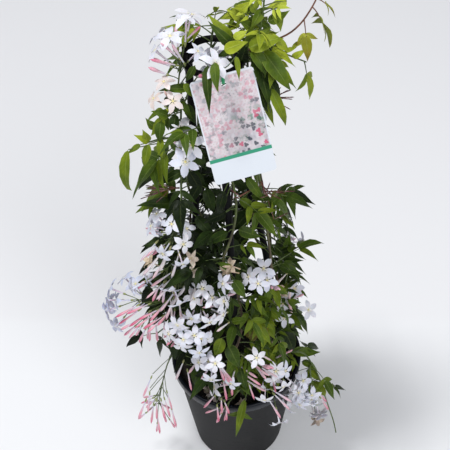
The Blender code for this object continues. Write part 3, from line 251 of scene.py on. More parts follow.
# Each spray's name, what bears it and near where, its stalk, its blooms and buds, how many of each are added
# beside them, and its finish
sprays = [dict(zip(("name", "stem", "near", "via", "blooms", "buds", "crowd", "finish"), row)) for row in (
    ("spray_top_left", "vine_mid_left", (-38, -13, 566), [(-38, -13, 590)], [(-26, -2, 634), (-44, -16, 624),
     (-58, -8, 604), (-22, -22, 612)], [(-64, -20, 596), (-40, 8, 616)], (1, 1)),
    ("spray_ring", "vine_mid_left", (-39, -15, 556), [(-30, -24, 576), (-24, -28, 590)], [(-8, -42, 614)],
     [(-20, -46, 606)], (0, 0)),
    ("spray_faded", "vine_mid_left", (-41, -17, 535), [(-46, -22, 552)], [(-45, -38, 574), (-62, -24, 566)],
     [], (1, 1), "flower_faded"),
    ("spray_left_high", "vine_mid_left", (-43, -20, 492), [(-36, -30, 506)],
     [(-40, -38, 543), (-33, -52, 537), (-38, -54, 519)], [(-37, -42, 528)], (0, 2)),
    ("spray_left_mid", "vine_mid_left", (-47, -26, 410), [(-56, -36, 402)], [(-76, -40, 424), (-56, -46, 432),
     (-46, -56, 414), (-66, -60, 406), (-48, -62, 392)], [(-78, -44, 386), (-72, -50, 370)], (2, 2)),
    ("spray_left_hanging", "vine_mid_left", (-49, -30, 368), [(-66, -42, 362)],
     [(-84, -46, 350), (-62, -62, 352)], [(-92, -44, 336), (-84, -54, 326), (-72, -58, 328), (-60, -58, 326)],
     (2, 3)),
    ("spray_side_left", "vine_mid_left", (-50, -32, 322), [(-76, -34, 316), (-98, -32, 302)],
     [(-128, -24, 314), (-112, -20, 326), (-134, -30, 284), (-126, -34, 262)], [(-112, -48, 300)], (3, 1)),
    ("spray_pink_left", "vine_mid_left", (-50, -32, 304), [(-70, -38, 304), (-88, -44, 294)], [],
     [(-120, -50, 276), (-112, -54, 266), (-102, -56, 260), (-92, -58, 262), (-82, -60, 266), (-74, -62, 276),
     (-106, -44, 256), (-64, -60, 288)], (0, 2), "bud_pink"),
    ("spray_white_upper", "vine_mid_left", (-50, -32, 314), [(-44, -48, 316), (-36, -56, 324)],
     [(-40, -62, 340), (-22, -66, 344), (-44, -74, 322), (-26, -80, 322), (-12, -74, 326)], [(-8, -64, 342)],
     (4, 2)),
    ("spray_white_left", "vine_mid_left", (-47, -32, 270), [(-46, -48, 282)], [(-60, -68, 306),
     (-42, -80, 302), (-56, -80, 284), (-38, -86, 280)], [(-70, -64, 284), (-68, -72, 272)], (4, 2)),
    ("spray_white_lower", "vine_mid_left", (-41, -30, 228), [(-32, -52, 242), (-22, -72, 248)],
     [(-40, -84, 260), (-24, -90, 264), (-28, -94, 242)], [(-36, -84, 238), (-14, -90, 232)], (1, 2)),
    ("spray_centre_right", "vine_mid_right", (38, -31, 330), [(30, -42, 342)],
     [(14, -58, 364), (32, -60, 360), (-2, -62, 372)], [(42, -62, 346)], (3, 2)),
    ("spray_right", "vine_right", (48, 16, 214), [(54, 0, 228), (58, -8, 238)], [(53, -26, 252),
     (81, -6, 238), (66, 4, 264), (52, -16, 264)], [(74, 10, 254), (61, -14, 259)], (0, 1)),
    ("spray_front_star", "vine_front", (6, -54, 222), [(12, -62, 232)], [(20, -80, 258), (-8, -88, 224)],
     [(34, -84, 242), (30, -86, 226)], (0, 2)),
    ("spray_front_right", "vine_mid_right", (30, -27, 182), [(36, -44, 198)], [(52, -66, 210), (60, -72, 178),
     (28, -84, 182), (44, -94, 150), (66, -58, 166)], [(54, -50, 222), (40, -84, 196)], (4, 2)),
    ("spray_trailing", "shoot_trailing", (84, -20, 152), [(84, -38, 140)],
     [(84, -60, 130), (94, -54, 96), (70, -60, 140)], [(104, -56, 110)], (4, 1)),
    ("spray_front_small", "shoot_low_front", (12, -46, 164), [(4, -62, 190), (-8, -72, 196)],
     [(-26, -80, 206)], [(-42, -66, 208), (-14, -80, 212)], (0, 1)),
    ("spray_buds_left", "vine_mid_left", (-36, -28, 204), [(-58, -26, 206), (-74, -30, 192), (-85, -32, 152),
     (-94, -32, 104)], [], [(-122, -30, 66), (-101, -36, 44), (-87, -40, 72), (-78, -36, 52), (-108, -26, 78),
     (-115, -32, 104), (-82, -28, 84), (-112, -24, 92)], (0, 2), "bud_pink"),
    ("spray_buds_front", "shoot_low_front", (11, -62, 178), [(0, -72, 184), (-14, -82, 172)], [],
     [(-38, -82, 158), (-26, -84, 140), (-17, -86, 146), (-8, -86, 146)], (0, 1), "bud_pink"),
    ("spray_dark_left", "vine_mid_left", (-45, -23, 456), [(-58, -24, 455)], [],
     [(-78, -26, 462), (-80, -24, 448), (-72, -32, 444)], (0, 2), "bud_maroon"),
    ("spray_dark_right", "vine_mid_right", (27, -21, 458), [(32, -30, 452), (36, -34, 448)], [],
     [(34, -46, 470), (46, -40, 468), (50, -36, 456), (26, -46, 462)], (0, 2), "bud_maroon"),
    ("spray_dark_top", "vine_mid_right", (19, -12, 560), [(34, -12, 552), (42, -12, 550)], [],
     [(55, -14, 560), (58, -12, 550), (56, -14, 540)], (0, 1), "bud_maroon"),
    ("spray_back_high", "vine_back", (-8, 28, 510), [(-8, 44, 522)], [(-20, 62, 544), (4, 66, 538)],
     [(-8, 70, 520)], (2, 1)),
    ("spray_back_mid", "vine_back", (2, 37, 385), [(8, 54, 392)],
     [(-6, 78, 408), (20, 76, 402), (8, 84, 384)], [(26, 76, 380), (-4, 78, 372)], (2, 2)),
    ("spray_back_left", "vine_back_left", (-45, 44, 290), [(-58, 56, 300)],
     [(-78, 70, 316), (-58, 82, 316), (-78, 76, 292)], [(-62, 84, 286), (-92, 62, 300)], (2, 2)),
    ("spray_back_right", "vine_back_right", (43, 44, 280), [(52, 58, 288)],
     [(58, 76, 302), (40, 86, 304), (64, 66, 280)], [(46, 84, 274), (70, 58, 272)], (2, 2)),
    ("spray_side_right", "vine_back_right", (24, 36, 462), [(28, 50, 464)], [(36, 70, 462), (18, 74, 456)],
     [(28, 76, 440)], (0, 1)),
    ("spray_back_low", "vine_back", (6, 34, 190), [(4, 54, 196)], [(18, 78, 208), (-12, 80, 204)],
     [(2, 88, 184), (-26, 72, 190)], (2, 2)),
)]


class Value:
    # a socket that works in Python expressions
    def __init__(self, nodes, socket):
        self.nodes, self.socket = nodes, socket

    def maths(self, operation, *values):
        return self.nodes.node("ShaderNodeMath", {"operation": operation}, dict(enumerate(values)))

    def also(self, out):
        return Value(self.nodes, self.socket.node.outputs[out])

    def __rsub__(self, other):
        return self.maths("SUBTRACT", other, self)

    def __abs__(self):
        return self.maths("ABSOLUTE", self)


def addOperator(sign, operation):
    # values and numbers on both sides of a sign
    setattr(Value, f"__{sign}__", lambda value, other: value.maths(operation, value, other))


for sign, operation in {
    "add": "ADD", "radd": "ADD", "sub": "SUBTRACT", "mul": "MULTIPLY", "rmul": "MULTIPLY",
    "truediv": "DIVIDE", "gt": "GREATER_THAN", "lt": "LESS_THAN",
}.items():
    addOperator(sign, operation)


class Nodes:
    def __init__(self, tree):
        self.tree = tree
        tree.nodes.clear()

    def node(self, kind, settings=None, inputs=None, out=0):
        made = self.tree.nodes.new(kind)
        for name, value in (settings or {}).items():
            setattr(made, name, value)
        for name, value in (inputs or {}).items():
            socket = made.inputs[name]
            if isinstance(value, Value):
                self.tree.links.new(value.socket, socket)
            elif value is not None:
                long = getattr(socket, "type", "") == "RGBA" and len(value) == 3
                socket.default_value = (*value, 1) if long else value
        return Value(self, made.outputs[out]) if len(made.outputs) else None

    def attribute(self, name):
        return self.node("ShaderNodeAttribute", {"attribute_name": name}, {}, "Fac")

    def ramp(self, value, stops):
        made = self.node("ShaderNodeValToRGB", {}, {0: value})
        elements = made.socket.node.color_ramp.elements
        for n, (place, colour) in enumerate(stops):
            element = elements[n] if n < 2 else elements.new(place)
            element.position, element.color = place, (*colour, 1)
        return made

    def mix(self, factor, first, second):
        return self.node("ShaderNodeMix", {"data_type": "RGBA"}, {0: factor, 6: first, 7: second}, 2)

    def part(self, vector, axis):
        return self.node("ShaderNodeSeparateXYZ", {}, {0: vector}, axis)

    def step(self, value, low, high):
        limits = {"Value": value, "From Min": low, "From Max": high}
        return self.node("ShaderNodeMapRange", {"interpolation_type": "SMOOTHSTEP"}, limits)

    def grain(self, scale, detail=3.0, stretch=None, where=None):
        where = where or self.node("ShaderNodeTexCoord", out="Object")
        if stretch:
            where = self.node("ShaderNodeMapping", {}, {"Vector": where, "Scale": stretch})
        return self.node("ShaderNodeTexNoise", {}, {"Vector": where, "Scale": scale, "Detail": detail})


def makeMaterial(name, paint, **looks):
    # paint returns the colour, the roughness, the height and depth of the bumps and any other sockets
    material = bpy.data.materials.new(name)
    material.use_nodes = True
    nodes = Nodes(material.node_tree)
    colour, rough, height, depth, *more = paint(nodes, **looks)
    sockets = {"Base Color": colour, "Roughness": rough, **(more[0] if more else {})}
    if depth:
        sockets["Normal"] = nodes.node(
            "ShaderNodeBump", {}, {"Strength": 0.6, "Distance": depth, "Height": height})
    shader = nodes.node("ShaderNodeBsdfPrincipled", {}, sockets)
    nodes.node("ShaderNodeOutputMaterial", {}, {"Surface": shader})
    return material


def leafPaint(nodes, bronze=0.0):
    along, across, under = (nodes.attribute(name) for name in ("along", "across", "under"))
    youthAndShade, blush, tint = (nodes.attribute(name) for name in ("youthAndShade", "blush", "tint"))
    mottle, fine = nodes.grain(90), nodes.grain(700, 2)
    half = abs(across)
    midrib = 1 - nodes.step(half, 0.02, 0.14)
    beat = along * 9.0 - half * 1.5 + 20
    vein = nodes.step(abs(beat.maths("FRACT", beat) - 0.5), 0.36, 0.5) * (1 - half * 0.7)
    # youth holds the leaves' age together with painted shade below the card
    shade = youthAndShade + (tint - 0.5) * 0.34 + (mottle - 0.5) * 0.5
    green = nodes.ramp(shade, [
        (0.0, (0.004, 0.009, 0.002)), (0.22, (0.016, 0.034, 0.004)), (0.45, (0.052, 0.092, 0.007)),
        (0.68, (0.135, 0.185, 0.010)), (0.86, (0.26, 0.31, 0.018)), (1.0, (0.41, 0.48, 0.05)),
    ])
    lines = nodes.mix((midrib * 0.22 + vein * 0.08) * (youthAndShade + 0.12), green, (0.42, 0.52, 0.16))
    red = nodes.step(along + (mottle - 0.5) * 0.8, 0.35, 1.1) * 0.5 + 0.35
    warm = nodes.mix(blush * red, lines, (0.17, 0.045, 0.022))
    pale = nodes.mix(under * (youthAndShade * 0.5 + 0.15), warm, (0.13, 0.19, 0.05))
    # painted highlight: a paler rim along each leaflet's edge, stronger on young leaves
    edge = nodes.step(half, 0.86, 1.0) * (youthAndShade * 0.42 + 0.03)
    colour = nodes.mix(edge, pale, (0.30, 0.34, 0.08))
    rough = 0.44 + under * 0.16 + (fine - 0.5) * 0.2 + bronze * 0.05
    height = vein * -0.5 - midrib * 0.8 + fine * 0.25 + mottle * 0.5
    return colour, rough, height, 0.0006, {"Specular IOR Level": 0.12}


def stemPaint(nodes, young=(0.085, 0.13, 0.025), old=(0.10, 0.066, 0.034)):
    bark = nodes.attribute("bark")
    streaks, fine = nodes.grain(260, 4, (1, 1, 0.16)), nodes.grain(1100, 2)
    green = nodes.mix(nodes.step(streaks, 0.35, 0.7), young, tuple(c * 0.5 for c in young))
    brown = nodes.mix(nodes.step(streaks, 0.3, 0.75), old, tuple(c * 0.42 for c in old))
    colour = nodes.mix(nodes.step(bark + (streaks - 0.5) * 0.5, 0.25, 0.75), green, brown)
    rough = 0.42 + bark * 0.3 + (fine - 0.5) * 0.2
    return colour, rough, streaks + fine * 0.3, 0.0005


def blossomPaint(
        nodes, face=(0.70, 0.695, 0.745), back=(0.70, 0.42, 0.49), deep=(0.58, 0.14, 0.23),
        neck=(0.25, 0.28, 0.10)):
    pink, green, gold = (nodes.attribute(name) for name in ("pink", "green", "gold"))
    rose, tint, fade = (nodes.attribute(name) for name in ("rose", "tint", "fade"))
    soft, fine = nodes.grain(150, 3), nodes.grain(900, 2)
    strength = pink * (rose * 1.15) + (soft - 0.5) * 0.35 * pink
    white = nodes.mix(tint, face, (face[0] * 0.78, face[1] * 0.86, face[2] * 1.02))
    blushed = nodes.mix(nodes.step(strength, 0.05, 0.62), white, back)
    deeper = nodes.mix(nodes.step(strength, 0.6, 1.15), blushed, deep)
    throat = nodes.mix(gold, deeper, (0.72, 0.62, 0.16))
    calyx = nodes.mix(nodes.step(green + (soft - 0.5) * 0.3, 0.3, 0.8), throat, neck)
    dry = nodes.mix(nodes.step(fine + (soft - 0.5), 0.3, 0.8), (0.62, 0.50, 0.33), (0.36, 0.22, 0.11))
    colour = nodes.mix(fade, calyx, dry)
    rough = 0.5 + (fine - 0.5) * 0.25 + fade * 0.2
    glow = {"Subsurface Weight": 0.28, "Subsurface Radius": (0.004, 0.003, 0.003)}
    return colour, rough, soft + fine * 0.4, 0.0003, glow


def potPaint(nodes):
    height = nodes.part(nodes.node("ShaderNodeTexCoord", out="Object"), 2)
    lip = nodes.step(height, (potSizes["height"] - 13) * mm, (potSizes["height"] - 11) * mm)
    fine, soft, turned = nodes.grain(2200, 2), nodes.grain(26, 3), nodes.grain(60, 3, (1, 1, 14))
    dust = nodes.step(soft, 0.52, 0.85) * (1 - lip)
    body = nodes.mix(dust * 0.16 + (fine - 0.5) * 0.12, potSizes["colour"], (0.05, 0.049, 0.047))
    colour = nodes.mix(lip, body, potSizes["lipColour"])
    scuff = nodes.step(turned, 0.55, 0.8) * 0.12
    rough = nodes.step(lip, 0, 1) * (potSizes["lipRoughness"] - potSizes["roughness"]) + potSizes["roughness"]
    rough = rough + scuff + (fine - 0.5) * 0.12
    return colour, rough, fine * 0.6 + turned * 0.4, 0.0002, {"Specular IOR Level": 0.14}


def soilPaint(nodes):
    tint = nodes.attribute("tint")
    grit, fine = nodes.grain(240, 4), nodes.grain(1500, 2)
    shade = nodes.step(grit * 0.7 + tint * 0.5, 0.45, 0.95)
    colour = nodes.mix(shade, soilSizes["dark"], soilSizes["light"])
    return colour, 0.86 + (fine - 0.5) * 0.2, grit + fine * 0.4, 0.0014


def supportPaint(nodes):
    fine, long, soft = nodes.grain(1600, 2), nodes.grain(500, 3, (1, 1, 0.08)), nodes.grain(40, 2)
    dusty = nodes.step(soft, 0.5, 0.9) * 0.5
    colour = nodes.mix(dusty, supportSizes["colour"], (0.011, 0.011, 0.012))
    rough = supportSizes["roughness"] + dusty * 0.3 + (long - 0.5) * 0.25
    return colour, rough, long + fine * 0.4, 0.0002, {"Specular IOR Level": 0.06}


def tiePaint(nodes):
    soft, fine = nodes.grain(160, 2), nodes.grain(1400, 2)
    dark = tuple(c * 0.55 for c in tieSizes["colour"])
    colour = nodes.mix(nodes.step(soft, 0.35, 0.75), tieSizes["colour"], dark)
    return colour, 0.36 + (fine - 0.5) * 0.25, fine, 0.0002


def floorPaint(nodes):
    # paler in front of a soft line across the floor
    place, slope, soft = view["floorEdge"]
    x = nodes.part(nodes.node("ShaderNodeTexCoord", out="Object"), 0)
    far = nodes.step(x.also(1) - x * slope, place - soft, place + soft)
    return nodes.mix(far, view["floor"], view["floorFar"]), 0.8, None, 0


def cardPaint(nodes):
    # a spread of made-up rosettes over a plain band and a bare strip; the back is bare
    where = nodes.node("ShaderNodeUVMap", {"uv_map": "card"})
    across = nodes.part(where, 0)
    height, front = across.also(1), nodes.attribute("front")
    fine = nodes.grain(900, 2)

    def rosettes(scale, size, lobes, keep):
        # petals round each cell's middle: what is inside them, how far out it is, and a number for each cell
        grid = nodes.node("ShaderNodeMapping", {}, {"Vector": where, "Scale": (scale, scale * 1.7, 1)})
        spread = {"Vector": grid, "Scale": 1.0, "Randomness": 0.8}
        cells = nodes.node("ShaderNodeTexVoronoi", {"voronoi_dimensions": "2D"}, spread, "Color")
        chance = nodes.node("ShaderNodeSeparateColor", {}, {0: cells}, 0)
        ends = {0: grid, 1: cells.also("Position")}
        arm = nodes.node("ShaderNodeVectorMath", {"operation": "SUBTRACT"}, ends)
        x = nodes.part(arm, 0)
        y = x.also(1)
        angle = (y.maths("ARCTAN2", y, x) + chance * 6.3) * (lobes / 2)
        edge = abs(angle.maths("COSINE", angle)) * 0.5 + 0.5
        far = cells.also("Distance") / (edge * size)
        inside = (1 - nodes.step(far, 0.82, 1.0)) * (chance < keep)
        return inside, far, nodes.node("ShaderNodeSeparateColor", {}, {0: cells}, 1)

    cloud = nodes.step(nodes.grain(8, 3, None, where), 0.35, 0.65)
    ground = nodes.mix(cloud, (0.33, 0.32, 0.36), (0.58, 0.55, 0.59))
    leaves, _, leafChance = rosettes(8, 0.6, 2, 0.6)
    lowRight = nodes.step(across * 0.7 - height + 0.55, 0.15, 0.75)
    leaf = nodes.mix(leafChance, (0.03, 0.10, 0.08), (0.16, 0.26, 0.20))
    picture = nodes.mix(leaves * (0.2 + lowRight * 0.8), ground, leaf)
    for *cells, petals in ((6.2, 0.7, 5, 0.9, (0.52, 0.49, 0.52)), (8.5, 0.66, 5, 0.7, (0.60, 0.57, 0.60))):
        inside, far, chance = rosettes(*cells)
        petal = nodes.mix(nodes.step(far, 0.3, 0.95) * (0.15 + chance * 0.5), petals, (0.56, 0.30, 0.36))
        heart = nodes.mix((1 - nodes.step(far, 0.06, 0.2)) * 0.6, petal, (0.45, 0.32, 0.26))
        picture = nodes.mix(inside * (1 - lowRight * 0.55), picture, heart)
    buds, _, budChance = rosettes(13, 0.62, 3, 0.42)
    bud = nodes.mix(nodes.step(budChance, 0.45, 0.55), (0.50, 0.07, 0.15), (0.04, 0.05, 0.07))
    picture = nodes.mix(buds * (0.3 + lowRight * 0.6), picture, bud)
    high, low = labelSizes["bandHigh"], labelSizes["bandLow"]
    border = nodes.step(across, 0.015, 0.03) * (1 - nodes.step(across, 0.97, 0.985))
    border = border * (1 - nodes.step(height, 0.975, 0.99))
    printed = nodes.mix(nodes.step(height, high, high + 0.004) * border * front, labelSizes["card"], picture)
    band = nodes.step(height, low, low + 0.004) * (1 - nodes.step(height, high, high + 0.004)) * front
    colour = nodes.mix(band, printed, labelSizes["band"])
    return colour, 0.34 + (fine - 0.5) * 0.15, fine, 0.0001, {"Coat Weight": 0.15}


def linked(name, data):
    thing = bpy.data.objects.new(name, data)
    bpy.context.scene.collection.objects.link(thing)
    return thing


attributeKinds = {"turn": "QUATERNION", "size": "FLOAT_VECTOR", "variant": "INT"}  # FLOAT for the others


def addObject(name, points, faces, attributes=None, edges=()):
    # points in millimetres; attributes are {name: a value for each point}
    data = bpy.data.meshes.new(name)
    data.from_pydata([Vector(point) * mm for point in points], edges, faces)
    addAttributes(data, attributes or {})
    return linked(name, data)


def addAttributes(data, attributes):
    for name, values in attributes.items():
        kind = attributeKinds.get(name, "FLOAT")
        layer = data.attributes.new(name, kind, "POINT")
        flat = [part for value in values for part in value] if name in ("turn", "size") else values
        layer.data.foreach_set("vector" if name == "size" else "value", flat)


def geometryTree(name, sockets):
    tree = bpy.data.node_groups.new(name, "GeometryNodeTree")
    for way in ("OUTPUT", "INPUT"):
        tree.interface.new_socket("Geometry", in_out=way, socket_type="NodeSocketGeometry")
    for label, kind in {**sockets, "Finish": "Material"}.items():
        tree.interface.new_socket(label, in_out="INPUT", socket_type="NodeSocket" + kind)
    nodes = Nodes(tree)
    return nodes, nodes.node("NodeGroupInput")


def copied(nodes, given, points, variant, turn, size):
    # one of the templates on each point
    settings = {0: given.also("Templates"), "Separate Children": True, "Reset Children": True}
    templates = nodes.node("GeometryNodeCollectionInfo", {}, settings)
    return nodes.node("GeometryNodeInstanceOnPoints", {}, {
        "Points": points, "Instance": templates, "Pick Instance": True, "Instance Index": variant,
        "Rotation": turn, "Scale": size})


def finished(nodes, given, geometry, smooth=True):
    whole = nodes.node("GeometryNodeRealizeInstances", {}, {0: geometry})
    if smooth:
        whole = nodes.node("GeometryNodeSetShadeSmooth", {}, {0: whole})
    whole = nodes.node("GeometryNodeSetMaterial", {}, {0: whole, "Material": given.also("Finish")})
    nodes.node("NodeGroupOutput", {}, {0: whole})
    return nodes.tree


def grown(thing, tree, values):
    # the tree's result as a plain mesh
    modifier = thing.modifiers.new(tree.name, "NODES")
    modifier.node_group = tree
    for socket in tree.interface.items_tree:
        if socket.in_out == "INPUT" and socket.name in values:
            modifier[socket.identifier] = values[socket.name]
    data = settled(thing)
    for name in (*attributeKinds, "thick"):
        if name in data.attributes:
            data.attributes.remove(data.attributes[name])
    return thing


def settled(thing):
    # the object's mesh as its modifiers leave it
    graph = bpy.context.evaluated_depsgraph_get()
    whole = bpy.data.meshes.new_from_object(
        thing.evaluated_get(graph), preserve_all_data_layers=True, depsgraph=graph)
    thing.modifiers.clear()
    thing.data = whole
    return whole


def copiesTree():
    # one template on each point, turned and sized by the point's attributes
    nodes, given = geometryTree("copies", {"Templates": "Collection", "Scale": "Float"})
    turn, size, variant = (
        nodes.node("GeometryNodeInputNamedAttribute", {"data_type": kind}, {"Name": name})
        for name, kind in attributeKinds.items())
    size = nodes.node("ShaderNodeVectorMath", {"operation": "SCALE"}, {0: size, "Scale": given.also("Scale")})
    return finished(nodes, given, copied(nodes, given, given, variant, turn, size))


def stemTree():
    # round stems along the mesh's edges, as thick as the point's attribute says
    nodes, given = geometryTree("stems", {"Sides": "Int", "Scale": "Float"})
    thick = nodes.node("GeometryNodeInputNamedAttribute", {"data_type": "FLOAT"}, {"Name": "thick"})
    line = nodes.node("GeometryNodeMeshToCurve", {}, {0: given})
    ring = nodes.node(
        "GeometryNodeCurvePrimitiveCircle", {}, {"Resolution": given.also("Sides"), "Radius": 1.0})
    return finished(nodes, given, nodes.node("GeometryNodeCurveToMesh", {}, {
        "Curve": line, "Profile Curve": ring, "Scale": thick * given.also("Scale"), "Fill Caps": True}))


def crumbTree():
    # crumbs on the faces that look up, with a fixed seed
    nodes, given = geometryTree("crumbs", {
        "Templates": "Collection", "Density": "Float", "Smallest": "Float", "Largest": "Float",
        "Seed": "Int"})
    upward = nodes.part(nodes.node("GeometryNodeInputNormal"), 2) > 0.7
    spread = nodes.node("GeometryNodeDistributePointsOnFaces", {}, {
        "Mesh": given, "Selection": upward, "Density": given.also("Density"), "Seed": given.also("Seed")})
    turn = nodes.node(
        "FunctionNodeRandomValue", {"data_type": "FLOAT_VECTOR"}, {1: (6.3, 6.3, 6.3), "Seed": 4})
    size = nodes.node("FunctionNodeRandomValue", {"data_type": "FLOAT"}, {
        2: given.also("Smallest"), 3: given.also("Largest"), "Seed": 5}, 1)
    pick = nodes.node("FunctionNodeRandomValue", {"data_type": "INT"}, {4: 0, 5: 2, "Seed": 6}, 2)
    both = nodes.node("GeometryNodeJoinGeometry", {}, {0: copied(nodes, given, spread, pick, turn, size)})
    nodes.tree.links.new(given.socket, both.socket.node.inputs[0])
    return finished(nodes, given, both, False)


def joined(name, things):
    first = things[0]
    if len(things) > 1:
        with bpy.context.temp_override(active_object=first, selected_editable_objects=things):
            bpy.ops.object.join()
    first.name = name
    return first


def dress(thing, slotName, *nodeNames):
    if not thing.data.materials:
        thing.data.materials.append(materials[slotName])
    if nodeNames:
        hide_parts(*nodeNames)
    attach(thing, "root")
    return thing


def outward(thing):
    # merges doubles and turns every face out
    shape = bmesh.new()
    shape.from_mesh(thing.data)
    bmesh.ops.remove_doubles(shape, verts=shape.verts, dist=1e-6)
    bmesh.ops.recalc_face_normals(shape, faces=shape.faces)
    shape.to_mesh(thing.data)
    shape.free()
    return thing


def smoothed(thing, angle=40):
    thing.data.shade_smooth()
    thing.data.set_sharp_from_angle(angle=math.radians(angle))
    return thing


def lathe(name, profile, sides, x=0.0, y=0.0):
    # a closed solid from (radius, height) points that start and end on the axis
    points, faces, _ = ringsTemplate([(*place, None) for place in profile], sides)
    thing = addObject(name, points, faces)
    thing.data.transform(Matrix.Translation(Vector((x, y, 0)) * mm))
    return thing


def tubeFaces(around, section):
    # the faces of a closed ring of that many sections, each with that many points
    faces = []
    for n in range(around):
        for k in range(section):
            m, j = (n + 1) % around, (k + 1) % section
            faces.append((n * section + k, m * section + k, m * section + j, n * section + j))
    return faces


def arc(x, y, radius, first, last, steps):
    # points on a circle from one angle to another
    turns = [math.radians(first + (last - first) * n / steps) for n in range(steps + 1)]
    return [(x + radius * math.cos(turn), y + radius * math.sin(turn)) for turn in turns]


# The stakes, stems, sprays, leaves and blooms lie as part.py lays them.
def curvePoint(a, b, c, d, t):
    # the smooth curve through the points, at a share of the way from b to c
    cubic = (b * 3 - a - c * 3 + d) * t**3
    return (b * 2 + (c - a) * t + (a * 2 - b * 5 + c * 4 - d) * t**2 + cubic) * 0.5


def smooth(controls, count):
    controls = [Vector(point) for point in controls]
    ends = [controls[0] * 2 - controls[1], *controls, controls[-1] * 2 - controls[-2]]
    stretches = zip(ends, ends[1:], ends[2:], ends[3:])
    fine = [curvePoint(*corners, n / 12) for corners in stretches for n in range(12)]
    fine.append(controls[-1])
    reached = [0.0]
    for a, b in zip(fine, fine[1:]):
        reached.append(reached[-1] + (b - a).length)
    spread, k = [], 0
    for n in range(count + 1):
        want = reached[-1] * n / count
        while k < len(fine) - 2 and reached[k + 1] < want:
            k += 1
        share = (want - reached[k]) / max(reached[k + 1] - reached[k], 1e-6)
        spread.append(fine[k].lerp(fine[k + 1], min(share, 1.0)))
    return spread


def anyStep(draw):
    return Vector([draw.uniform(-1, 1) for _ in range(3)])


def aimed(heading, rise):
    flat = Vector((math.cos(heading), math.sin(heading), 0)) * math.cos(rise)
    return flat + Vector((0, 0, math.sin(rise)))


def runLength(places):
    return sum((Vector(b) - Vector(a)).length for a, b in zip(places, places[1:]))


def nearest(path, place):
    # the number of the nearest stretch of the path, and the point on it
    place, best = Vector(place), None
    for n, (a, b) in enumerate(zip(path, path[1:])):
        share = (place - a).dot(b - a) / (b - a).length_squared
        point = a.lerp(b, min(max(share, 0.0), 1.0))
        if best is None or (point - place).length < best[0]:
            best = ((point - place).length, n, point)
    return best[1], best[2]


def seat(path, radii, near, toward):
    n, place = nearest(path, near)
    along = (path[n + 1] - path[n]).normalized()
    away = Vector(toward) - place
    away = (away - along * away.dot(along)).normalized()
    return place + away * (radii[n] + supportSizes["gap"]), away


def stakeLine(name):
    places = stakes[name]
    top, foot = places[0], places[-1]
    low = (top[0], top[1], supportSizes["socketBottom"] - 2)
    high = supportSizes["socketBottom"] + supportSizes["socketDepth"] - supportSizes["gap"]
    bowed = smooth([low, *places[1:], (foot[0], foot[1], soilSizes["top"] + 12)], 9)
    return [Vector((top[0], top[1], high)), *bowed, Vector((foot[0], foot[1], supportSizes["end"]))]


def twine(stem):
    line, places, steps, start = stakeLine(stem["stake"]), [], 14, 168
    for n in range(steps + 1):
        height = start + (stem["top"] - start) * n / steps
        k = next((k for k in range(len(line) - 1) if line[k + 1].z <= height), 0)
        share = (line[k].z - height) / (line[k].z - line[k + 1].z)
        middle = line[k].lerp(line[k + 1], max(share, 0.0))
        angle = stem["phase"] + math.tau * stem["turns"] * n / steps
        away = Vector((math.cos(angle), math.sin(angle), 0))
        places.append(Vector((middle.x, middle.y, height)) + away * 8)
    return places


def stemPath(stem, paths):
    way = twine(stem) if "stake" in stem else stem["via"]
    if "hole" in stem:
        x, y = stem["hole"]
        top = soilSizes["top"]
        root = [Vector((x, y, top - 36))]
        start, step = [(x, y, top + 5), (x, y, top + 12)], 22
    else:
        other, near = stem["beside"]
        place, away = seat(*paths[other], near, stem["via"][0])
        root, start, step = [place], [place + away * 5], 12
    way = [*start, *way]
    path = root + smooth(way, max(4, round(runLength(way) / step)))
    first, last = stem["thick"]
    return path, [first + (last - first) * n / (len(path) - 1) for n in range(len(path))]


def sprayPath(spray, paths):
    place, away = seat(*paths[spray["stem"]], spray["near"], spray["via"][0])
    way = [place + away * 4, *spray["via"]]
    return [place] + smooth(way, max(3, round(runLength(way) / 12)))


def makeLeaf(base, tip, pairs, roll=0.0):
    reach = tip - base
    length = reach.length
    heading = Vector((reach.x, reach.y, 0))
    if heading.length < 0.25 * length:
        heading = heading.normalized() + Vector((base.x, base.y, 0)).normalized() * 0.8
    heading.normalize()
    lift = Vector((0, 0, 0.2 * length))
    plane = heading.cross(up)
    flat = reach - plane * reach.dot(plane)
    rib = (base, base + flat * 0.34 + lift, base + flat * 0.74 + lift, base + flat)
    return {"rib": rib, "side": plane, "roll": roll, "length": length, "pairs": pairs}


def leafFrame(leaf, t):
    # place, direction, side and upper normal at a share of the midrib
    a, b, c, d = leaf["rib"]
    s = 1 - t
    place = a * s**3 + b * (3 * s * s * t) + c * (3 * s * t * t) + d * t**3
    along = ((b - a) * (s * s) + (c - b) * (2 * s * t) + (d - c) * (t * t)).normalized()
    normal = leaf["side"].cross(along).normalized()
    side = leaf["side"] * math.cos(leaf["roll"]) + normal * math.sin(leaf["roll"])
    return place, along, side, along.cross(side) * -1


def cadCorners(name):
    corners = frame["nodes"][name].data.vertices
    tree = KDTree(len(corners))
    for n, corner in enumerate(corners):
        tree.insert(corner.co / mm, n)
    tree.balance()
    return lambda place: tree.find(place)[2] < 0.1


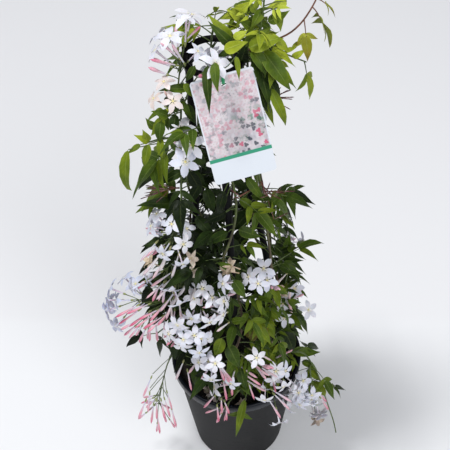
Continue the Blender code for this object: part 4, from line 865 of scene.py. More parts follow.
def laidLeaves(stem, paths):
    # the solid's leaves: of each leaf's tries, the one whose tip is on the solid
    path, _ = paths[stem["name"]]
    onSolid = cadCorners(stem["name"])
    draw = random.Random(stem["seed"])
    wanted = [(nearest(path, near)[1], Vector(tip), pairs) for near, tip, pairs in stem["leaves"]]
    low = next((n for n, place in enumerate(path) if place.z > soilSizes["top"] + 45), 0)
    count = stem.get("ruleLeaves", 0)
    for n in range(count):
        stretch = round(low + (len(path) - 2 - low) * (n + 0.5) / count)
        place = path[stretch].lerp(path[stretch + 1], 0.5)
        wanted.append((place, math.atan2(place.y, place.x) + (1.0 if n % 2 else -1.0), 2))
    found = []
    for base, goal, pairs in wanted:
        for attempt in range(16):
            if isinstance(goal, Vector):
                tip = goal + anyStep(draw) * (1.6 * attempt)
            else:
                heading = goal + draw.uniform(-0.5, 0.5) * (1 + attempt / 4)
                length = draw.uniform(54, 68) * (1 - attempt / 60)
                tip = base + aimed(heading, draw.uniform(-0.55, 0.1)) * length
            leaf = makeLeaf(base, tip, pairs, draw.uniform(-0.3, 0.3))
            if onSolid(leaf["rib"][3]):
                found.append(leaf)
                break
    return found


def sideways(axis, turn):
    side = axis.orthogonal().normalized()
    return side * math.cos(turn) + axis.cross(side) * math.sin(turn)


def laidBlooms(spray, path):
    # the same for a spray's blooms and buds
    onSolid = cadCorners(spray["name"])
    draw = random.Random(len(spray["name"]) * 7 + len(path))
    found = []
    wanted = [(kind, goal) for kind in ("bloom", "bud") for goal in spray[kind + "s"]]
    forks = {n: 0 for n in range(len(path) // 3, len(path))}
    for kind, goal in wanted:
        goal = Vector(goal)
        best = 28 if kind == "bloom" else 22
        fork = min(forks, key=lambda n: abs((path[n] - goal).length - best) + 7 * forks[n])
        forks[fork] += 1
        base = path[fork].lerp(path[min(fork + 1, len(path) - 1)], 0.5)
        for attempt in range(16):
            centre = goal + anyStep(draw) * (0.9 * attempt)
            turn = draw.uniform(0, math.tau)
            mark = centre
            if kind == "bloom":
                axis = (centre - base).normalized()
                out = sideways(axis, turn - math.radians(flowerSizes["spread"]))
                mark = centre + out * flowerSizes["reach"] - axis * flowerSizes["fall"]
            if onSolid(mark):
                found.append((kind, base, centre, turn))
                break
    return found


# Templates, each a closed mesh in a collection of its own kind, in millimetres at scale 1
def closedBlade(rows, across, surface, thick):
    # surface(u, v) gives a place and its normal; the ends are single points, the edges are shared
    points, faces, marks, upper, lower = [], [], [], [], []
    for u in rows:
        ends = u in (rows[0], rows[-1])
        upperRow, lowerRow = [], []
        for v in (0.0,) if ends else across:
            place, normal = surface(u, v)
            shared = ends or v in (across[0], across[-1])
            upperRow.append(len(points))
            for side in (0,) if shared else (1, -1):
                points.append(place + normal * (side * thick / 2))
                marks.append((u, v, float(side < 0)))
            lowerRow.append(len(points) - 1)
        upper.append(upperRow * (len(across) if ends else 1))
        lower.append(lowerRow * (len(across) if ends else 1))
    for n in range(len(rows) - 1):
        for k in range(len(across) - 1):
            top = (upper[n][k], upper[n + 1][k], upper[n + 1][k + 1], upper[n][k + 1])
            bottom = (lower[n][k], lower[n][k + 1], lower[n + 1][k + 1], lower[n + 1][k])
            faces += [tuple(dict.fromkeys(reversed(top))), tuple(dict.fromkeys(reversed(bottom)))]
    return points, faces, marks


def leafletTemplate(name, bend, twist, sickle):
    arc = math.radians(max(bend, 0.5))
    radius = 1 / (2 * math.sin(arc / 2))

    def surface(u, v):
        slope = arc * (0.5 - u)
        place = Vector((math.sin(arc / 2) - math.sin(slope), 0, math.cos(slope) - math.cos(arc / 2))) * radius
        normal = Vector((-math.sin(slope), 0, math.cos(slope)))
        half = leafSizes["halfWidth"] * (max(u, 0) / 0.3) ** 0.6 * (max(1 - u, 0) / 0.7) ** 1.4
        roll = twist * (u - 0.3)
        side = Vector((0, 1, 0)) * math.cos(roll) + normal * math.sin(roll)
        fold = abs(v) * half * 0.3 + 0.012 * math.sin(u * 11 + v * 2) * abs(v)
        place += side * (v * half + sickle * u * u * (1 - u) * 2.2) + normal * fold
        return place, normal

    rows = (0, 0.06, 0.16, 0.3, 0.48, 0.66, 0.83, 1)
    points, faces, marks = closedBlade(rows, (-1, -0.5, 0, 0.5, 1), surface, leafSizes["thick"] * 2)
    return marked(name, points, faces, marks, ("along", "across", "under"))


def marked(name, points, faces, marks, names):
    # a template with the numbers that its material reads, and with sharp rims
    attributes = {label: [mark[n] for mark in marks] for n, label in enumerate(names)}
    thing = addObject(name, [point / mm for point in points], faces, attributes)
    thing.data.set_sharp_from_angle(angle=math.radians(75))
    return thing


def ringsTemplate(profile, sides):
    # points and faces round the Z axis from (radius, height, mark) rings; a radius of 0 is a point
    points, faces, marks, rings = [], [], [], []
    for radius, height, mark in profile:
        ring = []
        for k in range(sides if radius else 1):
            angle = math.tau * k / sides
            ring.append(len(points))
            points.append(Vector((radius * math.cos(angle), radius * math.sin(angle), height)))
            marks.append(mark)
        rings.append(ring)
    for low, high in zip(rings, rings[1:]):
        for k in range(sides):
            m = (k + 1) % sides
            corners = (low[k % len(low)], low[m % len(low)], high[m % len(high)], high[k % len(high)])
            faces.append(tuple(dict.fromkeys(corners)))
    faces += [tuple(ring) for ring in (rings[0][::-1], rings[-1]) if len(ring) > 1]
    return points, faces, marks


def blossomObject(name, parts):
    points, faces, marks = [], [], []
    for more, moreFaces, moreMarks in parts:
        faces += [tuple(n + len(points) for n in face) for face in moreFaces]
        points += more
        marks += moreMarks
    return marked(name, points, faces, marks, ("pink", "green", "gold"))


def flowerTemplate(name, cup, pinwheel, curl, uneven, seed):
    # the face is at the origin and looks along Z; cup lifts the lobes, curl turns their ends back
    draw = random.Random(seed)
    parts = []
    for k in range(5):
        turn = Matrix.Rotation(math.tau * k / 5 + draw.uniform(-0.1, 0.1) * uneven, 3, "Z")
        lift = math.radians(cup + draw.uniform(-14, 14) * uneven)
        long = flowerSizes["lobeLength"] * (1 + draw.uniform(-0.12, 0.05) * uneven)
        roll = math.radians(pinwheel + draw.uniform(-10, 10) * uneven)
        back = math.radians(curl + draw.uniform(-12, 20) * uneven)

        def surface(u, v):
            slope = lift - back * u * u
            far = 1.0 + (long - 1.0) * u
            half = flowerSizes["lobeHalf"] * (0.34 * (1 - u) + 2.5 * u ** 0.95 * (1 - u) ** 0.82)
            side = Vector((0, math.cos(roll * u), math.sin(roll * u)))
            place = Vector((far * math.cos(slope * 0.7), 0, far * math.sin(slope * 0.7) - 0.2))
            normal = Vector((-math.sin(slope), 0, math.cos(slope)))
            place += side * (v * half) - normal * ((1 - abs(v)) * half * 0.22)
            return place, normal

        points, faces, marks = closedBlade((0, 0.24, 0.5, 0.76, 1), (-1, 0, 1), surface, 0.5)
        painted = [(0.48 * under, 0.0, max(0, 0.4 - u * 2.4) * (1 - under)) for u, _, under in marks]
        parts.append(([turn @ point for point in points], faces, painted))
    tube, neck = flowerSizes["tube"], flowerSizes["tubeRadius"]
    parts.append(ringsTemplate([
        (0.55, -tube, (0, 1, 0)), (1.15, -tube + 1.6, (0, 1, 0)), (1.0, -tube + 3.2, (0.1, 0.9, 0)),
        (neck, -tube + 3.8, (0.4, 0.2, 0)), (neck, -tube * 0.45, (0.6, 0.05, 0)),
        (neck * 1.3, -3, (0.6, 0, 0)), (1.75, -0.3, (0.2, 0, 0)), (1.2, 0.0, (0, 0.1, 0.5)),
        (0, -1.4, (0, 0.3, 1)),
    ], 6))
    return blossomObject(name, parts)


def budTemplate(name, head, sides):
    # the tip is at the origin and the stalk's end lies along -Z
    long, wide = flowerSizes["bud"], flowerSizes["budRadius"] * head
    return blossomObject(name, [ringsTemplate([
        (0.5, -long, (0, 1, 0)), (1.0, -long + 1.4, (0, 1, 0)), (0.9, -long + 3.0, (0.1, 0.9, 0)),
        (0.66, -long + 3.6, (0.2, 0.35, 0)), (0.86, -long * 0.62, (0.35, 0.08, 0)),
        (wide * 0.78, -long * 0.44, (0.6, 0, 0)), (wide, -long * 0.27, (0.85, 0, 0)),
        (wide * 0.8, -long * 0.12, (1, 0, 0)), (0, 0, (0.95, 0, 0)),
    ], sides)])


def crumbTemplate(name, seed):
    shape = bmesh.new()
    bmesh.ops.create_icosphere(shape, subdivisions=1, radius=1)
    draw = random.Random(seed)
    for corner in shape.verts:
        corner.co *= draw.uniform(0.6, 1.15)
        corner.co.z *= 0.7
    data = bpy.data.meshes.new(name)
    shape.to_mesh(data)
    shape.free()
    addAttributes(data, {"tint": [draw.uniform(0, 1)] * len(data.vertices)})
    return linked(name, data)


def collected(name, things):
    # a copy's variant counts these in the order of their names
    group = bpy.data.collections.new(name)
    for thing in things:
        bpy.context.scene.collection.objects.unlink(thing)
        group.objects.link(thing)
    return group


templates = {
    "leaflets": collected("leaflets", [
        leafletTemplate(f"leaflet{n}{kind}", bend, twist, sickle)
        for n, bend in enumerate(leafSizes["bends"])
        for kind, twist, sickle in (("a", 0.5, 0.05), ("b", -0.6, -0.06))
    ]),
    "blooms": collected("blooms", [flowerTemplate(f"bloom{n}", *shape) for n, shape in enumerate((
        (-4, 16, 18, 0.5, 1), (8, -14, 26, 0.9, 2), (24, 12, 30, 1.0, 3), (62, 26, 46, 1.6, 4)))]),
    "buds": collected("buds", [
        budTemplate(f"bud{n}", *shape) for n, shape in enumerate(((1.0, 6), (0.8, 6), (0.55, 5)))]),
    "crumbs": collected("crumbs", [crumbTemplate(f"crumb{n}", n) for n in range(3)]),
}
trees = {"copies": copiesTree(), "stems": stemTree(), "crumbs": crumbTree()}
materials = {slotName: makeMaterial(name, paint, **looks) for slotName, name, paint, looks in (
    ("leaf_green", "leafGreen", leafPaint, {}),
    ("leaf_bright", "leafBright", leafPaint, {}),
    ("leaf_dark", "leafDark", leafPaint, {}),
    ("leaf_bronze", "leafBronze", leafPaint, {"bronze": 1.0}),
    ("flower_white", "flowerWhite", blossomPaint, {}),
    ("flower_faded", "flowerFaded", blossomPaint, {
        "face": (0.70, 0.60, 0.55), "back": (0.72, 0.47, 0.42), "deep": (0.55, 0.27, 0.2)}),
    ("bud_pink", "budPink", blossomPaint, {"back": (0.70, 0.36, 0.43), "deep": (0.58, 0.11, 0.21)}),
    ("bud_maroon", "budMaroon", blossomPaint, {
        "face": (0.34, 0.20, 0.18), "back": (0.14, 0.02, 0.035), "deep": (0.06, 0.008, 0.016),
        "neck": (0.10, 0.09, 0.03)}),
    ("stem", "stemGreen", stemPaint, {}),
    ("stem_red", "stemRed", stemPaint, {"young": (0.20, 0.075, 0.04), "old": (0.11, 0.04, 0.024)}),
    ("pot_plastic", "potPlastic", potPaint, {}),
    ("potting_mix", "pottingMix", soilPaint, {}),
    ("support_plastic", "supportPlastic", supportPaint, {}),
    ("label_card", "labelCard", cardPaint, {}),
    ("tie_plastic", "tiePlastic", tiePaint, {}),
)}
print("templates, trees and", len(materials), "materials made")


def axesTurn(along, normal):
    # the turn that takes X to along and Z near to normal
    across = normal.cross(along).normalized()
    return Matrix((along, across, along.cross(across))).transposed().to_quaternion()


def copiesObject(name, kind, items, material):
    # items are dictionaries with place, turn, size, variant and the numbers that the material reads
    attributes = {key: [item[key] for item in items] for key in items[0] if key != "place"}
    thing = addObject(name, [item["place"] for item in items], [], attributes)
    return grown(thing, trees["copies"], {"Templates": templates[kind], "Scale": mm, "Finish": material})


def stemsObject(name, lines, material, sides=6):
    # lines are (points, radii, bark) in millimetres
    points, edges, thick, bark = [], [], [], []
    for line, radii, old in lines:
        edges += [(len(points) + n, len(points) + n + 1) for n in range(len(line) - 1)]
        points += line
        thick += radii
        bark += [old] * len(line) if isinstance(old, float) else old
    thing = addObject(name, points, [], {"thick": thick, "bark": bark}, edges)
    return grown(thing, trees["stems"], {"Sides": sides, "Scale": mm, "Finish": material})


def fineLine(path, radii, step=5):
    count = max(3, round(runLength(path) / step))
    thick = []
    for n in range(count + 1):
        k, share = divmod(n / count * (len(radii) - 1), 1)
        first, last = radii[int(k)], radii[min(int(k) + 1, len(radii) - 1)]
        thick.append(first + (last - first) * share)
    return smooth(path, count), thick


def blade(place, tip, normal, bend, wide, youthAndShade, blush, draw, vary=0.0):
    along = tip - place
    size = along.length
    variant = min(range(4), key=lambda n: abs(leafSizes["bends"][n] - bend)) * 2 + draw.randrange(2)
    if vary:
        youthAndShade = min(max(youthAndShade + draw.uniform(-vary, vary), 0), 1)
    return {
        "place": place, "turn": axesTurn(along.normalized(), normal), "size": (size, size * wide, size),
        "variant": variant, "youthAndShade": youthAndShade, "blush": blush, "tint": draw.random(),
    }


def leafletItems(leaf, draw, youthAndShade, blush):
    # the leaf's leaflets, and the line of its rib
    items, length = [], leaf["length"]
    angle, droop = math.radians(leafSizes["sideAngle"]), math.radians(leafSizes["sideDroop"])

    def add(place, tip, normal, bend, wide):
        items.append(blade(place, tip, normal, bend, wide, youthAndShade, blush, draw, 0.09))

    for t in leafSizes["pairs"].get(leaf["pairs"], ()):
        place, along, side, normal = leafFrame(leaf, t)
        reach = length * leafSizes["sideLength"] * (0.8 + 0.5 * t)
        for sign in (-1, 1):
            out = along * math.cos(angle) + side * (sign * math.sin(angle))
            start = place + side * (sign * leafSizes["ribHalf"] * 0.3)
            chord = out * math.cos(droop / 2) - normal * math.sin(droop / 2)
            upper = normal * math.cos(droop / 2) + out * math.sin(droop / 2)
            upper += along.cross(upper) * draw.uniform(-0.3, 0.3)
            far = reach * leafSizes["sideStretch"] * draw.uniform(0.92, 1.1)
            tip = start + chord * far + anyStep(draw) * 2
            tip.z -= draw.uniform(0, 4)
            bend = leafSizes["sideDroop"] + draw.uniform(-14, 22)
            add(start, tip, upper, bend, draw.uniform(0.8, 1.05))
    start = leafSizes["lastStart"] if leaf["pairs"] else leafSizes["singleStart"]
    start, wide = leaf.get("last", (start, draw.uniform(0.92, 1.1)))
    place = leafFrame(leaf, start)[0]
    _, middleAlong, _, normal = leafFrame(leaf, (start + 1) / 2)
    tip = leaf["rib"][3]
    sagitta = (leafFrame(leaf, (start + 1) / 2)[0] - (place + tip) / 2).length
    bend = math.degrees(8 * sagitta / max((tip - place).length, 1))
    normal = normal + middleAlong.cross(normal) * draw.uniform(-0.2, 0.2)
    add(place, tip, normal, bend, wide)
    thick, thin = leafSizes["ribThick"]
    count = 6
    rib = [leafFrame(leaf, start * 1.02 * n / count)[0] for n in range(count + 1)]
    return items, (rib, [thick + (thin - thick) * n / count for n in range(count + 1)], 0.1)


# Where the room for leaves ends
cameraPlace = Vector(view["place"]) / mm
labelAngles = (-labelSizes["lean"], -labelSizes["roll"], labelSizes["turn"])
labelTurn = Euler([math.radians(angle) for angle in labelAngles], "YXZ")
toLabel = (Matrix.Translation(Vector(labelSizes["place"])) @ labelTurn.to_matrix().to_4x4()).inverted()
room = {
    "reach": [
        (100, 80), (200, 86), (330, 78), (420, 58), (480, 48), (540, 48), (580, 54), (610, 62), (690, 60),
    ],
    "middle": -5, "top": 672, "crownFrom": 616, "crownLeft": 6, "mixTop": 137, "rimTop": 161, "rimInside": 64,
    "rimOutside": 82, "box": 3, "support": 5, "card": 5, "cardEdge": 3, "cardView": 1.5, "cardHang": 1,
}


def shareOf(value, low, high):
    return min(max((value - low) / (high - low), 0), 1)


def between(table, value):
    for (a, first), (b, last) in zip(table, table[1:]):
        if value <= b:
            return first + (last - first) * shareOf(value, a, b)
    return table[-1][1]


def overCard(across, height, margin):
    half, top = labelSizes["width"] / 2, labelSizes["holeBelowEdge"]
    return abs(across) < half + margin and top - labelSizes["length"] - margin < height < top + margin


# Places where the floor shows through the plant in the photo: no filling leaf crosses the view to them
openings = (((20, 0, 348), 9), ((39, 0, 353), 9), ((36, 0, 429), 11), ((50, 0, 426), 10))


def insidePlant(place):
    far = math.hypot(place.x - room["middle"], place.y)
    return far < between(room["reach"], place.z) and place.z < room["top"]


def freePlace(place, lines):
    # inside the solids' box, clear of the pot, the support and the card, and not before the card
    far = math.hypot(place.x, place.y)
    if place.z > room["crownFrom"] and place.x < room["crownLeft"]:
        return False
    overRim = place.z < room["rimTop"] and far > room["rimInside"]
    if far < room["rimOutside"] and (place.z < room["mixTop"] or overRim):
        return False
    for spot, radius in openings:
        away, sight = place - cameraPlace, (Vector(spot) - cameraPlace).normalized()
        if (away - sight * away.dot(sight)).length < radius:
            return False
    low, high, past = *(corner / mm for corner in cadBox), room["box"]
    if not (low.x - past < place.x < high.x + past and low.y - past < place.y < high.y + past):
        return False
    local, eye = toLabel @ place, toLabel @ cameraPlace
    if abs(local.y) < room["card"] and overCard(local.x, local.z, room["cardEdge"]):
        return False
    if local.y < 0:
        hit = eye + (local - eye) * (eye.y / (eye.y - local.y))
        if overCard(hit.x, hit.z, room["cardView"]):
            return False
    away = place - Vector(supportSizes["ringCentre"])
    if math.hypot(math.hypot(away.x, away.y) - supportSizes["ringRadius"], away.z) < room["support"]:
        return False
    return all((nearest(line, place)[1] - place).length > room["support"] for line in lines)


def cardBetween(start, end):
    a, b = toLabel @ start, toLabel @ end
    if a.y * b.y >= 0:
        return False
    hit = a.lerp(b, a.y / (a.y - b.y))
    return overCard(hit.x, hit.z, room["cardHang"])


def leafSpots(leaf):
    spots = [leafFrame(leaf, t)[0] for t in (0.5, 0.75, 1.0)]
    for t in leafSizes["pairs"].get(leaf["pairs"], ())[-2:]:
        place, along, side, normal = leafFrame(leaf, t)
        reach = leaf["length"] * 0.24
        for sign in (-1, 1):
            spots.append(place + (along * 0.5 + side * sign * 0.85) * reach - normal * reach * 0.3)
    return spots


def ramp(value, low, high):
    share = shareOf(value, low, high)
    return share * share * (3 - 2 * share)


def paintedShadeUnderCard(place):
    # painted shade: how much darker leaves are in the dense part below the card
    return 0.14 * ramp(place.z, 330, 370) * (1 - ramp(place.z, 470, 500)) * (1 - ramp(place.x, 5, 30))


def youthAndShadeAt(place):
    # leaf lightness: darker at the back and on the left, brighter on the right front and lime at the crown
    # where leaves are young, and darker inside, below the card, as painted shade
    youthAndShade = 0.33 + 0.28 * ramp(place.z, 500, 600) + 0.16 * ramp(place.z, 618, 655)
    lower = 1 - ramp(place.z, 480, 560)
    youthAndShade += 0.17 * ramp(place.x, -2, 30) * ramp(-place.y, 0, 40) * lower
    youthAndShade -= 0.24 * ramp(-place.x, -2, 25) * lower
    youthAndShade += 0.52 * ramp(-place.x, 52, 72) * ramp(place.z, 410, 440)
    youthAndShade += 0.1 * ramp(place.x, 15, 40) * ramp(place.z, 470, 520)
    return youthAndShade - 0.1 * ramp(place.y, 0, 40) - paintedShadeUnderCard(place)


# Leaves that fill the plant between those of the solids: how many, from where to where up the stem, how long,
# how far they fan out sideways, and how far they fall or rise
fillers = {
    "vine_front": [
        (36, 172, 480, (32, 54), 1.7, (-0.9, 0.3)), (10, 330, 500, (32, 48), 3.1, (-0.8, 0.2)),
        (5, 582, 592, (34, 50), 1.6, (-0.1, 0.8)),
    ],
    "vine_right": [(23, 180, 470, (34, 56), 1.4, (-0.9, 0.4)), (14, 500, 592, (36, 54), 1.0, (-0.6, 0.7))],
    "vine_left": [(30, 180, 480, (34, 58), 1.5, (-0.9, 0.4)), (20, 300, 510, (34, 52), 3.1, (-0.8, 0.4))],
    "vine_mid_left": [(34, 172, 480, (32, 56), 1.5, (-0.9, 0.3)), (24, 300, 520, (32, 50), 3.1, (-0.8, 0.3))],
    "vine_mid_right": [
        (30, 172, 480, (30, 52), 1.5, (-0.9, 0.3)), (14, 540, 606, (36, 56), 1.8, (-0.5, 0.8)),
    ],
    "vine_back": [(50, 180, 560, (36, 58), 1.8, (-0.8, 0.4)), (9, 540, 612, (36, 56), 2.0, (-0.3, 0.8))],
    "vine_back_left": [(48, 180, 530, (36, 58), 1.6, (-0.8, 0.4))],
    "vine_back_right": [(46, 180, 550, (36, 58), 1.6, (-0.8, 0.4))],
    "shoot_crown": [(7, 595, 655, (30, 46), 4.0, (-0.6, 0.5))],
    "shoot_low_front": [(7, 150, 182, (28, 40), 2.2, (-0.6, 0.3))],
    "shoot_trailing": [(10, 70, 176, (22, 34), 1.8, (-0.9, 0.3))],
    "shoot_hanging": [(3, 560, 600, (24, 34), 2.0, (-0.9, 0.2))],
}

# Leaves at given places: near where it leaves the stem, its tip, its pairs and its youth, which also carries
# painted shade
addedLeaves = {
    "vine_mid_right": [
        ((18, -6, 606), (36, -40, 556), 0, 0.34), ((18, -8, 590), (45, -30, 560), 1, 0.4),
        ((18, -6, 606), (58, -22, 590), 2, 0.62),
    ],
}


# Single leaflets at given places: where the blade starts and ends, how wide it is, its youth with painted
# shade, and any blush
placedBlades = {
    "shoot_crown": [
        (5, -14, 614, -13, -8, 638, 1.0, 0.74), (5, -18, 613, -13, -12, 634, 0.95, 0.5),
        (13, 4, 623, 2, 2, 634, 1.7, 0.86), (11, 8, 626, 22, 8, 637, 1.8, 0.92),
        (52, 14, 631, 35, 8, 630, 1.5, 0.9), (42, 6, 629, 46, -6, 615, 1.4, 0.56),
        (17, -16, 610, 38, -8, 623, 1.4, 0.6), (19, -22, 613, 48, -16, 616, 1.35, 0.7),
        (-1, -26, 615, 19, -22, 619, 1.4, 0.72), (7, -18, 620, 19, -14, 625, 1.5, 0.8),
        (31, 6, 629, 21, -8, 620, 1.3, 0.66), (36, 0, 621, 54, 4, 629, 1.3, 0.66),
        (24, -2, 615, 11, -4, 627, 1.4, 0.56), (26, -2, 611, 39, -6, 609, 1.4, 0.5),
        (21, 2, 618, 31, 4, 630, 1.4, 0.62), (29, 2, 606, 13, -4, 607, 1.3, 0.36),
        (38, 4, 610, 26, 2, 620, 1.3, 0.4),
    ],
    "vine_mid_right": [
        (31, -20, 606, 53, -34, 576, 1.1, 0.42), (22, -20, 609, 32, -30, 589, 1.3, 0.28),
        (25, -24, 583, 34, -34, 553, 0.9, 0.3), (26, -20, 596, 36, -30, 566, 0.85, 0.24),
        (36, -26, 573, 49, -34, 537, 0.65, 0.5), (15, -34, 476, 30, -42, 454, 0.9, 0.48),
        (19, -34, 452, 40, -36, 447, 1.1, 0.5), (17, -36, 444, 36, -42, 424, 1.1, 0.42),
        (8, -38, 452, 28, -44, 441, 1.1, 0.46), (6, -50, 424, 28, -52, 415, 1.35, 0.6),
        (33, -28, 431, 48, -26, 447, 1.1, 0.46), (11, -58, 265, 27, -66, 290, 1.2, 0.5, 0.9),
        (33, -52, 274, 18, -64, 271, 1.1, 0.56, 0.8), (23, -56, 287, 35, -64, 273, 1.0, 0.5, 0.85),
        (15, -6, 582, 0, -12, 596, 1.4, 0.2), (17, -6, 596, 4, -10, 606, 1.4, 0.24),
        (12, -10, 589, 17, -14, 613, 1.4, 0.26), (7, -4, 597, -8, -8, 593, 1.2, 0.24),
        (2, -22, 465, 18, -28, 454, 1.1, 0.2), (18, -22, 458, 5, -28, 449, 1.1, 0.18),
        (16, -22, 418, 1, -18, 385, 1.2, 0.16), (14, -22, 395, 1, -20, 361, 1.2, 0.14),
        (15, -24, 370, 0, -22, 338, 1.2, 0.16), (11, -26, 348, -2, -26, 317, 1.2, 0.18),
    ],
    "shoot_hanging": [
        (56, -8, 590, 67, -6, 597, 1.3, 0.72), (42, -10, 610, 53, -12, 600, 1.5, 0.76),
        (49, -8, 596, 60, -2, 596, 1.0, 0.6),
    ],
    "vine_front": [
        (-15, -44, 614, -15, -62, 579, 0.58, 0.4), (-9, -44, 617, -7, -60, 599, 0.95, 0.5),
        (8, -44, 622, 10, -54, 605, 0.65, 0.66), (-4, -52, 472, -18, -46, 477, 1.1, 0.18),
        (-6, -50, 476, -13, -56, 455, 1.2, 0.2), (-5, -50, 449, -26, -52, 437, 1.1, 0.2),
        (-4, -54, 426, -25, -54, 408, 1.0, 0.26), (-8, -34, 395, 4, -30, 363, 1.2, 0.16),
        (-2, -60, 381, -17, -56, 386, 1.3, 0.44), (-5, -62, 350, -22, -62, 342, 1.2, 0.42),
        (-1, -62, 365, 11, -66, 344, 1.3, 0.5), (-15, -66, 276, -24, -72, 253, 1.4, 0.46),
        (-4, -66, 303, 14, -66, 308, 1.2, 0.52),
    ],
    "vine_mid_left": [
        (-32, -24, 575, -57, -28, 577, 0.9, 0.44), (-50, -28, 572, -42, -34, 556, 1.7, 0.26),
        (-39, -26, 563, -30, -34, 550, 1.0, 0.26), (-51, -28, 549, -65, -30, 557, 1.5, 0.4),
        (-55, -28, 547, -67, -34, 532, 1.3, 0.6), (-57, -30, 545, -59, -38, 527, 1.4, 0.4),
        (-52, -26, 546, -51, -30, 534, 1.2, 0.28), (-44, -28, 550, -48, -34, 531, 1.3, 0.34),
        (-61, -28, 536, -70, -30, 550, 1.5, 0.66), (-70, -28, 520, -82, -30, 531, 1.3, 0.7),
        (-71, -28, 519, -74, -28, 535, 1.5, 0.7), (-70, -30, 519, -76, -38, 498, 1.0, 0.52),
        (-58, -34, 529, -58, -42, 513, 1.1, 0.56), (-42, -30, 484, -64, -36, 473, 1.1, 0.44),
        (-49, -28, 438, -88, -32, 443, 0.85, 0.34), (-58, -28, 453, -38, -36, 442, 1.0, 0.22),
        (-36, -30, 483, -25, -36, 457, 1.1, 0.16), (-27, -34, 471, -40, -40, 450, 1.1, 0.18),
        (-22, -34, 465, -15, -42, 439, 1.1, 0.2), (-33, -36, 430, -17, -44, 410, 1.1, 0.18),
        (-40, -38, 411, -22, -46, 390, 1.1, 0.16), (-68, -34, 316, -91, -36, 307, 1.3, 0.14),
        (-67, -36, 296, -89, -38, 287, 1.3, 0.14), (-69, -36, 278, -88, -40, 269, 1.2, 0.16),
        (-83, -34, 323, -96, -36, 300, 1.3, 0.16), (-53, -26, 412, -71, -28, 401, 1.2, 0.16),
        (-53, -28, 389, -71, -30, 374, 1.2, 0.16), (-53, -30, 358, -72, -32, 343, 1.2, 0.14),
        (-25, -32, 605, -34, -34, 590, 1.0, 0.42), (-77, -30, 519, -90, -33, 511, 0.95, 0.72),
        (-88, -33, 516, -89, -38, 470, 0.62, 0.66), (-35, -32, 587, -26, -36, 574, 1.1, 0.4),
        (-35, -26, 560, -27, -30, 540, 1.1, 0.2), (-33, -26, 528, -24, -26, 503, 1.1, 0.14),
        (-31, -26, 506, -21, -26, 480, 1.1, 0.14), (-34, -26, 479, -22, -28, 462, 1.1, 0.14),
        (-68, -36, 341, -97, -38, 337, 1.3, 0.22), (-78, -36, 314, -96, -38, 301, 1.3, 0.2),
        (-65, -34, 396, -88, -36, 390, 1.0, 0.34), (-42, -48, 212, -46, -62, 183, 1.1, 0.16),
    ],
    "vine_right": [
        (53, -8, 324, 73, -10, 327, 1.1, 0.28), (48, -10, 320, 72, -14, 310, 1.1, 0.3),
        (50, -8, 340, 68, -8, 347, 1.0, 0.28), (55, -4, 344, 58, -2, 364, 1.1, 0.32),
        (51, -18, 223, 61, -30, 191, 1.3, 0.2),
    ],
    "shoot_low_front": [
        (-9, -66, 263, 3, -78, 238, 1.4, 0.4), (0, -66, 250, -12, -76, 228, 1.3, 0.34),
        (-1, -66, 226, -17, -78, 209, 1.3, 0.3), (3, -68, 223, 9, -82, 201, 1.3, 0.36),
        (0, -72, 206, -12, -84, 190, 1.2, 0.28), (4, -72, 198, 13, -86, 195, 1.2, 0.44),
    ],
    "shoot_trailing": [
        (65, -8, 163, 98, -4, 153, 1.0, 0.32), (75, -16, 152, 93, -20, 140, 1.2, 0.52),
        (81, -20, 141, 98, -24, 123, 1.2, 0.58), (80, -22, 140, 78, -30, 121, 1.2, 0.56),
        (89, -24, 123, 103, -30, 99, 1.1, 0.6), (87, -24, 126, 82, -30, 105, 1.2, 0.56),
        (93, -26, 107, 89, -32, 90, 1.0, 0.6),
    ],
}


def placedItems(name, path, draw):
    items, petioles = [], []
    for row in placedBlades.get(name, []):
        start, tip, (wide, youthAndShade, blush) = Vector(row[:3]), Vector(row[3:6]), (*row[6:], 0)[:3]
        middle = (start + tip) / 2
        toEye = (cameraPlace - middle).normalized()
        outside = Vector((middle.x - room["middle"], middle.y, 0)).normalized()
        normal = toEye + outside * 0.3 + up * 0.35 + anyStep(draw) * 0.28
        bend = draw.choice((26, 52, 52, 80))
        # the given youth less the painted shade below the card
        items.append(blade(start, tip, normal, bend, wide, youthAndShade - paintedShadeUnderCard(start), blush, draw))
        base, (first, over, second, last) = nearest(path, start)[1], leafSizes["petioleThick"]
        knee = base.lerp(start, 0.55) + up * 1.5
        way, thick = [base, knee, start + (start - tip) * 0.01], [first, second, last]
        if cardBetween(base, knee):  # over the card's top edge
            way.insert(1, base + Vector((0, 1.5, 6)))
            thick.insert(1, over)
        petioles.append((way, thick, 0.1))
    return items, petioles


def fillerLeaves(name, path, lines):
    found = []
    for count, low, high, lengths, fan, falls in fillers.get(name, []):
        draw = random.Random(len(name) * 31 + count + low)
        wanted = len(found) + count
        for _ in range(count * 20):
            if len(found) == wanted:
                break
            n = draw.randrange(1, len(path) - 1)
            base = path[n].lerp(path[n + 1], draw.random())
            heading = math.atan2(base.y, base.x - room["middle"]) + draw.uniform(-1, 1) * fan
            length = draw.uniform(*lengths)
            tip = base + aimed(heading, draw.uniform(*falls)) * length
            leaf = makeLeaf(base, tip, draw.choice((1, 2, 2, 2, 3)), draw.uniform(-0.5, 0.5))
            if not low < base.z < high or cardBetween(base, leafFrame(leaf, 0.5)[0]):
                continue
            if all(insidePlant(spot) and freePlace(spot, lines) for spot in leafSpots(leaf)):
                found.append(leaf)
    return found


# the youth added here is part of the leaves' lightness, which also carries painted shade
leafLooks = {  # youth added and blush, for the shoots
    "leaf_green": (0.0, 0.0), "leaf_bright": (0.2, 0.0), "leaf_dark": (-0.3, 0.0), "leaf_bronze": (0.2, 0.75),
}


# Leaves of the solids with a long, narrow last leaflet: where it starts and how wide it is
longLast = {
    "shoot_low_front": {0: (0.04, 0.5)}, "vine_mid_left": {0: (0.42, 0.72)}, "vine_front": {3: (0.55, 0.72)},
    "vine_mid_right": {1: (0.5, 0.7)},
}


